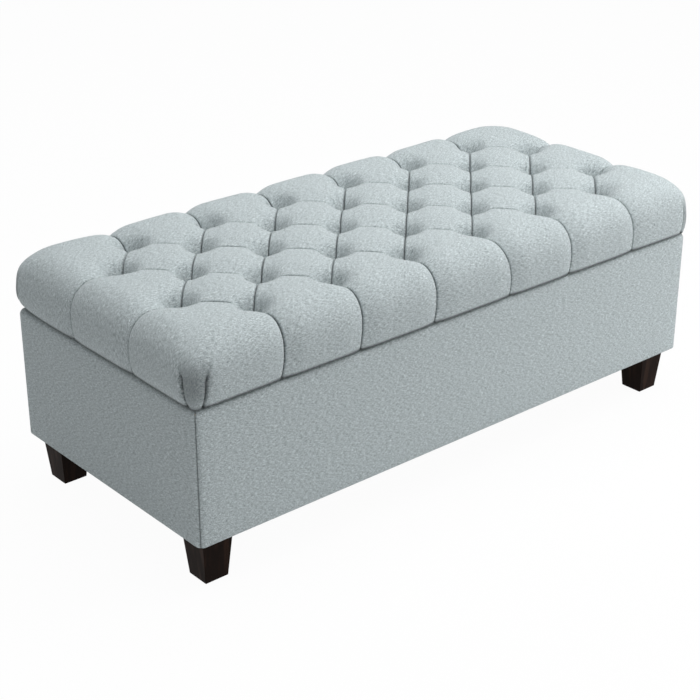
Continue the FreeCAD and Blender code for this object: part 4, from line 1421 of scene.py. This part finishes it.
def linen():
    finish = Finish("pale_linen", 0.92, specular=0.22)
    finish.shader.inputs["Sheen Weight"].default_value = 0.12
    finish.shader.inputs["Sheen Roughness"].default_value = 0.5
    colors = from_screen((114, 124, 125), (187, 197, 199), (240, 248, 249))
    open_cloth = finish.dress(WEAVE, colors, (0.25 * MM, 0.6),
                              Threads_per_metre=820.0, Slub=0.45)
    # The fold value blends in the painted shade, a much darker copy of the cloth's colour
    fold = finish.tree.nodes.new("ShaderNodeAttribute")
    fold.attribute_name = FOLD
    blend = finish.tree.nodes.new("ShaderNodeMix")
    blend.data_type = "RGBA"
    in_fold_shade = on_vector(finish.tree, "MULTIPLY", open_cloth, FOLD_SHADE_TONE)
    for k, value in ((0, fold.outputs["Fac"]), (6, open_cloth), (7, in_fold_shade)):
        feed(finish.tree, blend.inputs[k], value)
    feed(finish.tree, finish.shader.inputs["Base Color"], blend.outputs[2])
    return finish.material


FINISHES["upholstery_cloth"] = linen()
FINISHES["lining_cloth"] = finished(
    "black_lining", WEAVE, from_screen((30, 30, 32), (48, 48, 51), (66, 66, 69)),
    (0.15 * MM, 0.5), 0.95, specular=0.2, Threads_per_metre=1500.0, Slub=0.2)
print("cloths:", list(FINISHES))

# %% [markdown]
# ## Woods
# The legs are solid wood, stained nearly black-brown under satin lacquer, with the grain
# just showing.  The hidden battens and blocks are plain pale timber and the panels are
# plywood with a broad figure.

# %% Woods
FINISHES["stained_wood"] = finished(
    "espresso_wood", WOOD, from_screen((14, 8, 5), (31, 18, 12), (52, 34, 24)),
    (0.12 * MM, 0.5), 0.5, specular=0.04, worn=(0.56, 0.42),
    Stretch=(14.0, 14.0, 1.2), Rings=2.2)
FINISHES["plywood"] = finished(
    "plywood", WOOD, from_screen((222, 194, 152), (205, 173, 130), (176, 141, 98)),
    (0.2 * MM, 0.4), 0.7, specular=0.3, worn=(0.62, 0.78),
    Stretch=(1.0, 9.0, 9.0), Rings=1.6)
FINISHES["frame_timber"] = finished(
    "frame_timber", WOOD, from_screen((226, 201, 160), (212, 182, 138), (186, 150, 104)),
    (0.25 * MM, 0.5), 0.72, specular=0.3, worn=(0.65, 0.8),
    Stretch=(1.4, 16.0, 16.0), Rings=3.0)
print("cloths and woods:", len(FINISHES))

# %% [markdown]
# ## Metals and small parts
# Hinges and stays are plated steel plate with faint rolling marks.  Screws, staples, nuts
# and washers are zinc plated and a little cloudier.  Foam, rubber, plastic and twine each
# have their own grain.

# %% Metals, foam, plastic, rubber and twine
FINISHES["steel_plate"] = finished(
    "steel_plate", MOTTLE, ((0.42, 0.42, 0.43), (0.56, 0.56, 0.57), (0.68, 0.68, 0.69)),
    (0.05 * MM, 0.4), 0.34, metallic=1.0, worn=(0.42, 0.26),
    Clouds=45.0, Grain=700.0, Brushing=(1.0, 0.08, 1.0))
FINISHES["zinc_plated_steel"] = finished(
    "zinc_plating", MOTTLE, ((0.50, 0.50, 0.48), (0.64, 0.64, 0.61), (0.76, 0.75, 0.71)),
    (0.04 * MM, 0.4), 0.4, metallic=1.0, worn=(0.5, 0.3), Clouds=160.0, Grain=1400.0)
FINISHES["foam"] = finished(
    "pale_foam", MOTTLE, ((0.72, 0.66, 0.48), (0.82, 0.76, 0.58), (0.90, 0.85, 0.68)),
    (0.5 * MM, 0.6), 0.95, specular=0.35, Clouds=60.0, Grain=700.0)
FINISHES["glide_plastic"] = finished(
    "glide_plastic", MOTTLE, ((0.020, 0.017, 0.015), (0.035, 0.030, 0.027)),
    (0.05 * MM, 0.6), 0.55, specular=0.35, Clouds=80.0, Grain=1500.0)
FINISHES["bumper_rubber"] = finished(
    "bumper_rubber", MOTTLE, ((0.018, 0.018, 0.018), (0.036, 0.036, 0.036)),
    (0.06 * MM, 0.6), 0.75, specular=0.35, Clouds=90.0, Grain=1600.0)
FINISHES["twine"] = finished(
    "waxed_twine", MOTTLE, from_screen((120, 130, 130), (160, 170, 170), (188, 197, 197)),
    (0.15 * MM, 0.7), 0.8, specular=0.3,
    Clouds=300.0, Grain=2400.0, Brushing=(1.0, 1.0, 0.3))
print("finishes:", len(FINISHES))

# %% Give every piece its finish
SLOTS = {entry["node"]: entry["material_slot"] for entry in frame["record"]["subparts"]}


def dress(piece, slot):
    piece.data.materials.clear()
    piece.data.materials.append(FINISHES[slot])


for node, piece in NODES.items():
    dress(piece, SLOTS[node])
for piece in [lid] + covers:
    dress(piece, "upholstery_cloth")
for piece in (floor_cloth, lid_cloth, under_cloth, wall):
    dress(piece, "lining_cloth")
print("CAD nodes dressed:", len(NODES))

# %% [markdown]
# ## Floor, light and view
# A plain white floor takes the shadow.  Rays straight from the camera, or by way of a
# mirror or glass, see it nearly white, so that the background comes from its colour and not
# from more light.  One big soft lamp hangs overhead, two smaller ones stand in front on the
# right, one low and one high, and the sky fills the rest evenly.

# %% Floor
FLOOR_SIZE = 40.0
FLOOR_WHITE = 0.86
FLOOR_GLOW = 0.965          # share of the floor's look that is plain white
PLAIN_WHITE = (1.0, 1.0, 1.0, 1.0)


def seen_directly(tree):
    """1 for rays from the camera, or from a mirror or glass, and 0 for light bounces."""
    path = tree.nodes.new("ShaderNodeLightPath")
    seen = Number(tree, path.outputs["Is Camera Ray"])
    for label in ("Is Glossy Ray", "Is Transmission Ray"):
        seen = calc(tree, "MAXIMUM", seen, path.outputs[label])
    return seen


def show_plain(tree, lit, kind, share, output):
    """Mixes a plain white shader over a lit one, by a share that only some rays see."""
    plain = tree.nodes.new(kind)
    plain.inputs["Color"].default_value = PLAIN_WHITE
    mix = tree.nodes.new("ShaderNodeMixShader")
    for socket, value in zip(mix.inputs, (share, lit.outputs[0], plain.outputs[0])):
        feed(tree, socket, value)
    tree.links.new(mix.outputs[0], tree.nodes[output].inputs["Surface"])


def floor_finish():
    finish = Finish("white_floor", 1.0, specular=0.0)
    finish.shader.inputs["Base Color"].default_value = (*[FLOOR_WHITE] * 3, 1.0)
    share = seen_directly(finish.tree) * FLOOR_GLOW
    show_plain(finish.tree, finish.shader, "ShaderNodeEmission", share, "Material Output")
    return finish.material


def add_floor():
    half = FLOOR_SIZE / 2
    corners = [(-half, -half, 0.0), (half, -half, 0.0), (half, half, 0.0), (-half, half, 0.0)]
    floor = new_object("floor", corners, [(0, 1, 2, 3)], smooth=False)
    floor.data.materials.append(floor_finish())


add_floor()
print("floor:", FLOOR_SIZE, "m across")

# %% Light
SKY = 0.36
SKY_COLOR = (0.97, 0.985, 1.0, 1.0)
LAMPS = {
    # place, aim, diameter in metres and power in watts
    "overhead": ((0.4, 0.1, 3.6), (0.0, 0.0, 0.4), 2.8, 70.0),
    "front_right": ((1.4, -1.3, 1.0), (0.3, -0.28, 0.2), 1.1, 8.0),
    "high_right": ((1.6, -1.2, 2.6), (0.4, -0.25, 0.4), 1.2, 22.0),
}


def add_sky():
    world = bpy.data.worlds.new("studio")
    bpy.context.scene.world = world
    world.use_nodes = True
    tree = world.node_tree
    sky = tree.nodes["Background"]
    sky.inputs["Color"].default_value = SKY_COLOR
    sky.inputs["Strength"].default_value = SKY
    show_plain(tree, sky, "ShaderNodeBackground", seen_directly(tree), "World Output")


def add_lamp(name, place, aim, size, power):
    data = bpy.data.lights.new(name, "AREA")
    data.shape = "DISK"
    data.size = size
    data.energy = power
    lamp = bpy.data.objects.new(name, data)
    bpy.context.scene.collection.objects.link(lamp)
    lamp.location = place
    lamp.rotation_euler = (Vector(aim) - lamp.location).to_track_quat("-Z", "Y").to_euler()


add_sky()
for name, values in LAMPS.items():
    add_lamp(name, *values)
bpy.context.scene.view_settings.view_transform = "Standard"
print("lamps:", list(LAMPS), "sky:", SKY)
